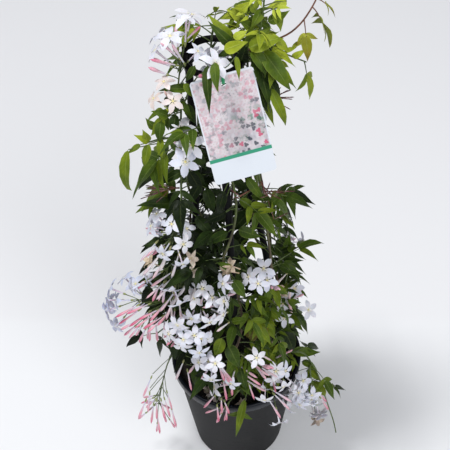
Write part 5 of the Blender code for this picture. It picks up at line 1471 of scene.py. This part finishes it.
def makeStem(stem, paths, lines):
    name, slotName = stem["name"], stem.get("finish", "leaf_green")
    path, radii = paths[name]
    draw = random.Random(stem["seed"] + 100)
    added, blush = leafLooks[slotName]
    items, ribs = [], []
    leaves = laidLeaves(stem, paths)
    extra = fillerLeaves(name, path, lines)
    wanted = [(leaf, youthAndShadeAt(leaf["rib"][2]) + added) for leaf in leaves + extra]
    for near, tip, pairs, youthAndShade in addedLeaves.get(name, []):
        wanted.append((makeLeaf(nearest(path, near)[1], Vector(tip), pairs, draw.uniform(-0.3, 0.3)), youthAndShade))
    for n, last in longLast.get(name, {}).items():
        leaves[n]["last"] = last
    for leaf, youthAndShade in wanted:
        more, rib = leafletItems(leaf, draw, youthAndShade + draw.uniform(-0.08, 0.08), blush)
        items += more
        ribs.append(rib)
    more, petioles = placedItems(name, path, draw)
    items += more
    ribs += petioles
    woody = 1.0 if stem["thick"][0] > 1.2 else 0.15
    line, thick = fineLine(path, radii)
    bark = [woody * (1 - 0.8 * ramp(point.z, 200, 560)) for point in line]
    stemLook = materials["stem_red" if blush else "stem"]
    things = [
        stemsObject(name + "_grown", [(line, thick, bark)], stemLook, 8),
        stemsObject(name + "_ribs", ribs, stemLook, 5),
        copiesObject(name + "_leaflets", "leaflets", items, materials[slotName]),
    ]
    dress(joined(name + "_grown", things), slotName, name)
    return len(leaves), len(extra)


sprayLooks = {  # how pink the blooms and the buds are, at least and at most
    "flower_white": ((0.15, 0.5), (0.4, 0.9)), "flower_faded": ((0.3, 0.6), (0.5, 0.8)),
    "bud_pink": ((0.4, 0.7), (0.65, 1.0)), "bud_maroon": ((0.8, 1.0), (0.85, 1.0)),
}


# Blooms and buds at given places: where each starts and ends, how pink it is and, if at all, how withered
placedBlooms = {
    "spray_buds_left": {"bud": [
        (-95, -38, 174, -108, -52, 149, 0.6), (-100, -40, 149, -105, -54, 118, 0.5),
        (-102, -40, 140, -117, -56, 109, 0.7), (-94, -40, 131, -96, -54, 102, 0.8),
        (-96, -42, 117, -94, -60, 80, 0.9), (-90, -40, 131, -86, -56, 104, 0.9),
        (-86, -40, 131, -80, -54, 105, 0.8), (-80, -40, 122, -74, -58, 89, 0.8),
        (-82, -40, 143, -77, -50, 116, 0.7), (-97, -40, 127, -103, -56, 97, 0.8),
    ]},
    "spray_pink_left": {"bud": [
        (-94, -46, 315, -122, -58, 308, 0.9), (-93, -46, 308, -120, -58, 296, 1.0),
        (-85, -48, 305, -109, -60, 294, 1.0), (-81, -48, 300, -104, -62, 293, 0.9),
        (-72, -50, 298, -95, -62, 292, 1.0), (-76, -50, 309, -99, -60, 305, 0.9),
        (-84, -48, 317, -110, -58, 313, 0.9), (-64, -52, 312, -80, -62, 296, 0.8),
        (-67, -50, 323, -87, -62, 304, 0.8), (-74, -52, 296, -91, -64, 288, 0.7),
    ]},
    "spray_left_hanging": {"bud": [
        (-40, -50, 381, -65, -60, 355, 0.15, 0.25), (-46, -50, 375, -73, -60, 352, 0.1, 0.3),
        (-48, -50, 366, -78, -62, 339, 0.3, 0.2), (-54, -48, 370, -82, -58, 355, 0.5, 0.1),
        (-38, -52, 371, -54, -62, 344, 0.1, 0.3), (-45, -54, 358, -63, -62, 328, 0.15, 0.25),
        (-53, -52, 350, -75, -64, 322, 0.45, 0.1), (-58, -54, 340, -70, -66, 311, 0.5, 0.1),
        (-56, -54, 331, -54, -66, 307, 0.35, 0.2), (-64, -52, 332, -64, -64, 311, 0.2, 0.3),
        (-33, -54, 364, -44, -64, 336, 0.1, 0.3), (-60, -50, 361, -88, -60, 339, 0.5, 0.1),
    ]},
    "spray_left_mid": {"bud": [
        (-68, -46, 413, -89, -56, 391, 0.3, 0.15), (-63, -48, 406, -80, -58, 381, 0.1, 0.3),
        (-57, -48, 406, -71, -60, 380, 0.15, 0.3), (-65, -48, 398, -88, -60, 375, 0.25, 0.2),
        (-60, -50, 397, -79, -62, 371, 0.4, 0.2), (-50, -50, 399, -60, -62, 372, 0.2, 0.25),
    ]},
    "spray_white_upper": {"bud": [
        (-9, -66, 333, -33, -70, 334, 0.5, 0.1), (-7, -66, 320, -27, -72, 319, 0.4, 0.2),
        (-6, -68, 306, -20, -76, 301, 0.3, 0.3), (-28, -58, 347, -35, -66, 332, 0.4, 0.1),
    ]},
    "spray_front_right": {"bud": [
        (1, -62, 244, 26, -76, 227, 0.5, 0.1), (3, -62, 233, 34, -78, 220, 0.5, 0.1),
        (-1, -64, 225, 21, -78, 217, 0.6, 0.1), (-2, -66, 220, 25, -82, 208, 0.8),
        (2, -66, 204, 30, -82, 196, 0.5, 0.1), (11, -70, 198, 17, -84, 184, 0.9),
        (20, -68, 198, 58, -84, 176, 0.45), (28, -68, 190, 56, -86, 163, 0.5),
        (32, -76, 174, 46, -90, 152, 0.7), (8, -58, 249, 37, -72, 239, 0.3, 0.2),
        (16, -62, 224, 43, -76, 213, 0.4, 0.1),
    ]},
    "spray_buds_front": {"bud": [
        (-16, -76, 217, -13, -88, 191, 0.9), (-7, -76, 213, -7, -86, 197, 0.8),
        (-24, -80, 193, -39, -86, 175, 0.8), (-24, -82, 176, -23, -90, 151, 1.0),
        (-19, -82, 188, -19, -88, 169, 0.9), (-16, -82, 183, -11, -90, 167, 0.9),
    ]},
    "spray_front_small": {"bud": [
        (-55, -50, 224, -68, -60, 193, 0.3, 0.2), (-55, -56, 217, -51, -70, 185, 0.8),
        (-40, -56, 227, -53, -66, 213, 0.5, 0.1), (-34, -60, 218, -37, -72, 193, 0.3, 0.2),
    ]},
    "spray_right": {"bud": [
        (57, -8, 307, 42, -22, 303, 0.3, 0.4), (61, -8, 294, 57, -22, 271, 0.4, 0.3),
        (55, -12, 279, 61, -24, 256, 0.6, 0.2), (62, -6, 257, 75, -8, 269, 0.7),
    ]},
    "spray_trailing": {
        "bud": [
            (68, -24, 144, 72, -40, 109, 0.2, 0.2), (75, -26, 138, 63, -40, 114, 0.2, 0.2),
            (85, -30, 109, 89, -46, 77, 0.1, 0.2),
        ],
        "bloom": [
            (65, -44, 141, 68, -58, 153, 0.2), (78, -42, 129, 83, -56, 136, 0.15),
            (71, -42, 154, 73, -54, 171, 0.2), (90, -46, 113, 92, -56, 103, 0.2, 0.1),
        ],
    },
    "spray_dark_left": {"bud": [
        (-57, -28, 463, -69, -30, 476, 1), (-56, -28, 463, -71, -32, 471, 1),
        (-57, -28, 461, -77, -34, 467, 1), (-57, -30, 462, -79, -36, 464, 1),
        (-58, -30, 462, -72, -38, 463, 1),
    ]},
    "spray_dark_right": {"bud": [
        (8, -40, 459, -1, -44, 473, 1), (8, -40, 458, 2, -46, 463, 1),
        (31, -34, 450, 29, -34, 474, 1), (31, -34, 450, 36, -36, 471, 1),
        (31, -34, 449, 38, -38, 464, 1), (40, -34, 419, 54, -38, 432, 1),
    ]},
    "spray_dark_top": {"bud": [
        (38, -20, 556, 46, -20, 569, 1), (39, -20, 556, 52, -22, 567, 1),
        (38, -20, 555, 51, -24, 561, 1),
    ]},
    "spray_top_left": {
        "bloom": [(-34, -16, 597, -30, -8, 635, 0.5)],
        "bud": [
            (-32, -10, 614, -19, -12, 629, 0.9), (-38, -20, 596, -61, -30, 612, 0.9),
            (-36, -18, 600, -52, -24, 624, 0.6), (-33, -20, 596, -43, -20, 619, 0.4),
        ],
    },
}


def blossomItem(kind, base, centre, turn, draw, looks, whole=False):
    axis = (centre - base).normalized()
    out = sideways(axis, turn)
    reach = (centre - base).length
    long = flowerSizes["tube" if kind == "bloom" else "bud"]
    small = 0.62 if looks == "bud_maroon" else 1.0
    depth = min(1.4, reach / long) if whole else min(1.0, (reach - 2) / long) * small
    low, high = sprayLooks[looks][0 if kind == "bloom" else 1]
    if kind == "bloom":
        variant = draw.choice((0, 0, 1, 1, 2))
    else:
        variant = draw.choice((0, 0, 1)) if small == 1.0 else 2
    turned = Matrix((out, axis.cross(out), axis)).transposed().to_quaternion()
    size = (small * draw.uniform(0.94, 1.04),) * 2 + (depth,)
    cool = ramp(-centre.x, 70, 110) * 0.55
    item = {
        "place": centre, "turn": turned, "size": size, "variant": variant, "rose": draw.uniform(low, high),
        "tint": min(draw.uniform(0, 0.45) + cool, 1), "fade": 0.0,
    }
    end = centre - axis * long * depth
    return item, ([base, base.lerp(end, 0.5) + up * 0.6, end], flowerSizes["stalkThick"], 0.0)


# How much larger than the rest a head's blooms are, how far they turn their faces to the front, and where a
# head has withered ones
largeHeads = {
    "spray_top_left": (1.2, 1.2, 1.2, 0.75, 1.1), "spray_ring": (1.2,), "spray_faded": (0.84,),
    "spray_left_high": (1.15,),
}
faced = {"spray_right": (0.5, 0.75, 0.8, 0.6)}
withered = {
    "spray_centre_right": [(-2, -60, 384), (-5, -58, 374)], "spray_right": [(50, -18, 284), (45, -20, 295)],
    "spray_left_hanging": [(-41, -50, 386), (-40, -52, 371), (-80, -44, 376)],
    "spray_trailing": [(92, -46, 74)],
}


def crowd(spray, path, laid, lines, draw):
    # blooms and buds beside those of the solid, to fill the head
    found = []
    for kind, count in zip(("bloom", "bud"), spray["crowd"]):
        own = [centre for other, _, centre, _ in laid if other == kind] or [laid[0][2]]
        near, far, apart = (11, 20, 11) if kind == "bloom" else (6, 14, 5.5)
        for _ in range(count * 25):
            if count == 0:
                break
            step = Vector([draw.gauss(0, 1) for _ in range(3)]).normalized() * draw.uniform(near, far)
            centre = draw.choice(own) + step
            n = draw.randrange(len(path) // 2, len(path))
            base = path[n].lerp(path[min(n + 1, len(path) - 1)], 0.5)
            clear = min((other[2] - centre).length for other in laid + found) > apart
            if clear and 13 < (centre - base).length < 46 and freePlace(centre, lines):
                found.append((kind, base, centre, draw.uniform(0, math.tau)))
                count -= 1
    return found


def rootLine(path, base):
    # a stalk from far enough up the spray to lean away at a narrow angle
    n, root = nearest(path, base)
    gap = (root - base).length
    while n > 0 and (root - base).length < gap * 1.5:
        root = path[n]
        n -= 1
    return [root, root.lerp(base, 0.5) + up * 0.8, base], flowerSizes["rootThick"], 0.0


def makeSpray(spray, paths, stakeLines):
    name, slotName = spray["name"], spray.get("finish", "flower_white")
    path = sprayPath(spray, paths)
    draw = random.Random(len(path) * 5 + len(name))
    laid = laidBlooms(spray, path)
    laid += crowd(spray, path, laid, stakeLines, draw)
    items, lines = {"bloom": [], "bud": []}, []

    def add(kind, base, centre, turn):
        item, line = blossomItem(kind, base, centre, turn, draw, slotName)
        items[kind].append(item)
        lines.append(line)
        return item

    sizes, turns = largeHeads.get(name, (1.0,)), faced.get(name, ())
    for n, (kind, base, centre, turn) in enumerate(laid):
        if n < len(turns):
            toEye = (cameraPlace - centre).normalized()
            axis = (centre - base).normalized().lerp(toEye, turns[n]).normalized()
            base = centre - axis * (centre - base).length
            lines.append(rootLine(path, base))
        item = add(kind, base, centre, turn)
        wide, high, long = item["size"]
        large = sizes[min(n, len(sizes) - 1)]
        item["size"] = (wide * large, high * large, long)
    for kind, rows in placedBlooms.get(name, {}).items():
        for row in rows:
            base, centre = Vector(row[:3]), Vector(row[3:6])
            item, _ = blossomItem(kind, base, centre, draw.uniform(0, 6), draw, slotName, True)
            item.update(rose=row[6], fade=(*row[7:], 0)[0])
            items[kind].append(item)
            lines.append(rootLine(path, base))
    for centre in withered.get(name, []):
        centre = Vector(centre)
        item = add("bloom", nearest(path, centre)[1], centre, draw.uniform(0, 6))
        item.update(variant=3, fade=draw.uniform(0.6, 0.9), size=tuple(part * 0.8 for part in item["size"]))
    line, radii = fineLine(path, flowerSizes["sprayThick"], 4)
    stemLook = materials["stem_red" if slotName == "bud_maroon" else "stem"]
    things = [stemsObject(name + "_grown", [(line, radii, 0.1), *lines], stemLook, 5)]
    for kind, some in items.items():
        if some:
            things.append(copiesObject(f"{name}_{kind}s", kind + "s", some, materials[slotName]))
    dress(joined(name + "_grown", things), slotName, name)
    return len(laid)


def makePlant():
    lines = [stakeLine(name) for name in stakes]
    paths = {}
    for stem in stems:
        paths[stem["name"]] = stemPath(stem, paths)
    counts = [makeStem(stem, paths, lines) for stem in stems]
    laid, added = (sum(some) for some in zip(*counts))
    print("stems:", len(stems), "leaves of the solids:", laid, "filling:", added)
    print("sprays:", len(sprays), "blooms and buds:", sum(makeSpray(spray, paths, lines) for spray in sprays))


def wallRadius(height):
    share = (height - potSizes["floor"]) / (potSizes["height"] - potSizes["floor"])
    low, high = potSizes["base"] - 2.6, potSizes["rim"] - potSizes["lipDepth"] - potSizes["wall"]
    return low + (high - low) * share


def makePot():
    rim, height, base = potSizes["rim"], potSizes["height"], potSizes["base"]
    lip, outer = height - potSizes["lipHeight"], rim - potSizes["lipDepth"]
    roll, floor = potSizes["lipRoll"], potSizes["floor"]
    profile = [
        (0, 0), (base - 4, 0), (base - 2, 0.4), (base - 0.6, 1.4), (base, 3.2), (outer - 0.5, lip - 3),
        (outer, lip - 1.6), (outer + 1.6, lip - 0.9), (rim - 0.9, lip - 0.3), (rim - 0.3, lip + 0.9),
    ]
    profile += arc(rim - roll, height - roll, roll, 0, 180, 8)
    profile += [(wallRadius(height - 6), height - 6), (wallRadius(floor), floor), (0, floor)]
    pot = lathe("pot_turned", profile, potSizes["sides"])
    cutters, radius = [], potSizes["drainRadius"]
    start = 180 / potSizes["drains"]
    for x, y in arc(0, 0, potSizes["drainCircle"], start, start + 360, potSizes["drains"])[1:]:
        cutters.append(lathe("drain", [(0, -1), (radius, -1), (radius, 4), (0, 4)], 24, x, y))
    cutter = outward(joined("drains", cutters))
    modifier = outward(pot).modifiers.new("drains", "BOOLEAN")
    modifier.operation, modifier.object, modifier.solver = "DIFFERENCE", cutter, "MANIFOLD"
    settled(pot).materials.clear()
    bpy.data.objects.remove(cutter)
    dress(smoothed(pot, 35), "pot_plastic", "pot")
    print("pot made")


def makeSoil():
    top, sides, rings = soilSizes["top"], soilSizes["sides"], soilSizes["rings"]
    bottom, inset = potSizes["floor"] + 0.3, 0.35
    profile = [(0, bottom), (wallRadius(bottom) - inset, bottom)]
    edge = wallRadius(top) - inset
    profile += [(edge * (1 - n / rings), top) for n in range(rings)] + [(0, top)]
    soil = lathe("mix_heaped", profile, sides)
    for corner in soil.data.vertices:
        if corner.co.z > (top - 1) * mm:
            far = math.hypot(corner.co.x, corner.co.y) / (edge * mm)
            lumps = noise.noise(corner.co * 90) + 0.5 * noise.noise(corner.co * 260)
            corner.co.z += (soilSizes["heap"] * (1 - far * far) + soilSizes["lump"] * lumps) * mm
    addAttributes(soil.data, {"tint": [0.3] * len(soil.data.vertices)})
    smallest, largest = soilSizes["crumbSize"]
    outward(soil)
    grown(soil, trees["crumbs"], {
        "Templates": templates["crumbs"], "Density": float(soilSizes["crumbs"]), "Smallest": smallest * mm,
        "Largest": largest * mm, "Seed": 7, "Finish": materials["potting_mix"]})
    dress(soil, "potting_mix", "soil")
    print("potting mix made,", len(soil.data.polygons), "faces")


def makeFallen():
    # florets that lie on the mix and against the pot's wall
    draw = random.Random(5)
    items = []
    for x, y, variant, fade in soilSizes["fallen"]:
        height = soilSizes["top"] + 4.5 + 2.6 * (1 - (math.hypot(x, y) / 60) ** 2)
        lean = Vector((draw.uniform(-0.5, 0.5), draw.uniform(-0.5, 0.5), 1 if variant < 3 else 0.3))
        items.append({
            "place": (x, y, height), "turn": lean.normalized().to_track_quat("Z", "Y"),
            "size": (0.95, 0.95, 0.3), "variant": variant, "rose": 0.3, "tint": draw.random() * 0.4,
            "fade": fade})
    dress(copiesObject("fallen_florets", "blooms", items, materials["flower_faded"]), "flower_faded")
    print("fallen florets:", len(items))


def makeSupport():
    finish = materials["support_plastic"]
    for name in stakes:
        path = stakeLine(name)
        line, radii = fineLine(path[1:], [supportSizes["radius"]] * len(path), 8)
        stake = stemsObject(
            name + "_round", [([path[0], *line], [radii[0], *radii], 0.0)], finish, supportSizes["sides"])
        dress(smoothed(stake, 50), "support_plastic", name)
    centre, points, (around, section) = Vector(supportSizes["ringCentre"]), [], supportSizes["ringSteps"]
    rim = arc(supportSizes["ringRadius"], 0, supportSizes["ringThick"], 0, 360, section)[:-1]
    for x, y in arc(0, 0, 1, 0, 360, around)[:-1]:
        points += [centre + Vector((radius * x, radius * y, height)) for radius, height in rim]
    things = [addObject("ring_round", points, tubeFaces(around, section))]
    radius, low, high = supportSizes["socketRadius"], supportSizes["socketBottom"], supportSizes["socketTop"]
    for name in stakes:
        x, y, _ = stakes[name][0]
        things.append(lathe("boss", [
            (0, low + 4), (3.7, low + 4), (3.8, low), (radius - 0.5, low), (radius, low + 0.6),
            (radius, high - 1.6), (radius - 0.5, high - 0.5), (radius - 1.6, high), (0, high),
        ], 28, x, y))
    ring = outward(joined("ring_round", things))
    dress(smoothed(ring, 50), "support_plastic", "top_ring")
    print("support made")


def makeLabel():
    half, top = labelSizes["width"] / 2, labelSizes["holeBelowEdge"]
    bottom, corner = top - labelSizes["length"], labelSizes["corner"]
    left, right, low, high = corner - half, half - corner, bottom + corner, top - corner
    outline = []
    for x, z, first in ((right, high, 0), (left, high, 90), (left, low, 180), (right, low, 270)):
        outline += arc(x, z, corner, first, first + 90, 7)
    hole = arc(0, 0, labelSizes["hole"], 0, 360, 28)[:-1]
    shape, edges, depth = bmesh.new(), [], labelSizes["thick"] / 2
    for loop in (outline, hole):
        corners = [shape.verts.new((x, -depth, z)) for x, z in loop]
        edges += [shape.edges.new((corners[n - 1], corners[n])) for n in range(len(corners))]
    filled = bmesh.ops.triangle_fill(shape, use_beauty=True, edges=edges)
    faces = [item for item in filled["geom"] if isinstance(item, bmesh.types.BMFace)]
    moved = bmesh.ops.extrude_face_region(shape, geom=faces)
    for item in moved["geom"]:
        if isinstance(item, bmesh.types.BMVert):
            item.co.y = depth
    bmesh.ops.recalc_face_normals(shape, faces=shape.faces)
    layer = shape.loops.layers.uv.new("card")
    for face in shape.faces:
        for loop in face.loops:
            x, _, z = loop.vert.co
            loop[layer].uv = ((x + half) / (2 * half), (z - bottom) / labelSizes["length"])
    data = bpy.data.meshes.new("card_cut")
    shape.to_mesh(data)
    shape.free()
    addAttributes(data, {"front": [float(corner.co.y < 0) for corner in data.vertices]})
    data.transform(Matrix.Scale(mm, 4) @ toLabel.inverted())
    dress(linked("card_cut", data), "label_card", "label")
    print("label made")


def makeTie():
    loop, places = [Vector((labelSizes["place"][0], *place)) for place in tieSizes["loop"]], []
    for n in range(len(loop)):
        corners = [loop[(n + k) % len(loop)] for k in (-1, 0, 1, 2)]
        places += [curvePoint(*corners, k / 4) for k in range(4)]
    half, thick = tieSizes["width"] / 2, tieSizes["thick"] / 2
    section = [(-half, -thick * 0.5), (-half * 0.8, -thick), (half * 0.8, -thick), (half, -thick * 0.5)]
    section += [(-x, -y) for x, y in section]
    points = []
    for n, place in enumerate(places):
        step = places[(n + 1) % len(places)] - places[n - 1]
        out = Vector((0, step.z, -step.y)).normalized()
        points += [place + Vector((x, 0, 0)) + out * y for x, y in section]
    tie = outward(addObject("tie_looped", points, tubeFaces(len(places), len(section))))
    dress(smoothed(tie, 50), "tie_plastic", "label_tie")
    print("tie made")


def makeStage():
    far = view["floorReach"]
    corners = [(-far, -far, 0), (far, -far, 0), (far, far, 0), (-far, far, 0)]
    floor = addObject("floor", corners, [(0, 1, 2, 3)])
    floor.data.materials.append(makeMaterial("floorPaper", floorPaint))
    world = bpy.data.worlds.new("sky")
    world.use_nodes = True
    colour, strength = world.node_tree.nodes["Background"].inputs[:2]
    colour.default_value, strength.default_value = (*view["sky"], 1), view["skyStrength"]
    scene = bpy.context.scene
    scene.world = world
    scene.view_settings.view_transform = "Standard"
    for name in ("key", "fill"):
        light = bpy.data.lights.new(name, "AREA")
        light.size, light.energy = view[name + "Size"], view[name + "Power"]
        lamp = linked(name, light)
        lamp.location = view[name + "Place"]
        lamp.rotation_euler = (Vector(view["aim"]) - lamp.location).to_track_quat("-Z", "Y").to_euler()
    lens = bpy.data.cameras.new("camera")
    lens.lens, lens.sensor_width = view["lens"], 36
    camera = linked("camera", lens)
    camera.matrix_world = (
        Matrix.Translation(view["place"]) @ Matrix.Rotation(math.radians(view["pitch"]), 4, "X")
        @ Matrix.Rotation(math.radians(view["roll"]), 4, "Z"))
    scene.camera = camera
    print("stage made")


makePot()
makeSoil()
makeFallen()
makeSupport()
makeLabel()
makeTie()
makePlant()
makeStage()
for group in templates.values():
    for thing in list(group.objects):
        bpy.data.objects.remove(thing)
    bpy.data.collections.remove(group)
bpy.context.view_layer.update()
shown = [thing for thing in bpy.data.objects if thing.type == "MESH" and not thing.hide_render]
print("faces:", sum(len(thing.data.polygons) for thing in shown))
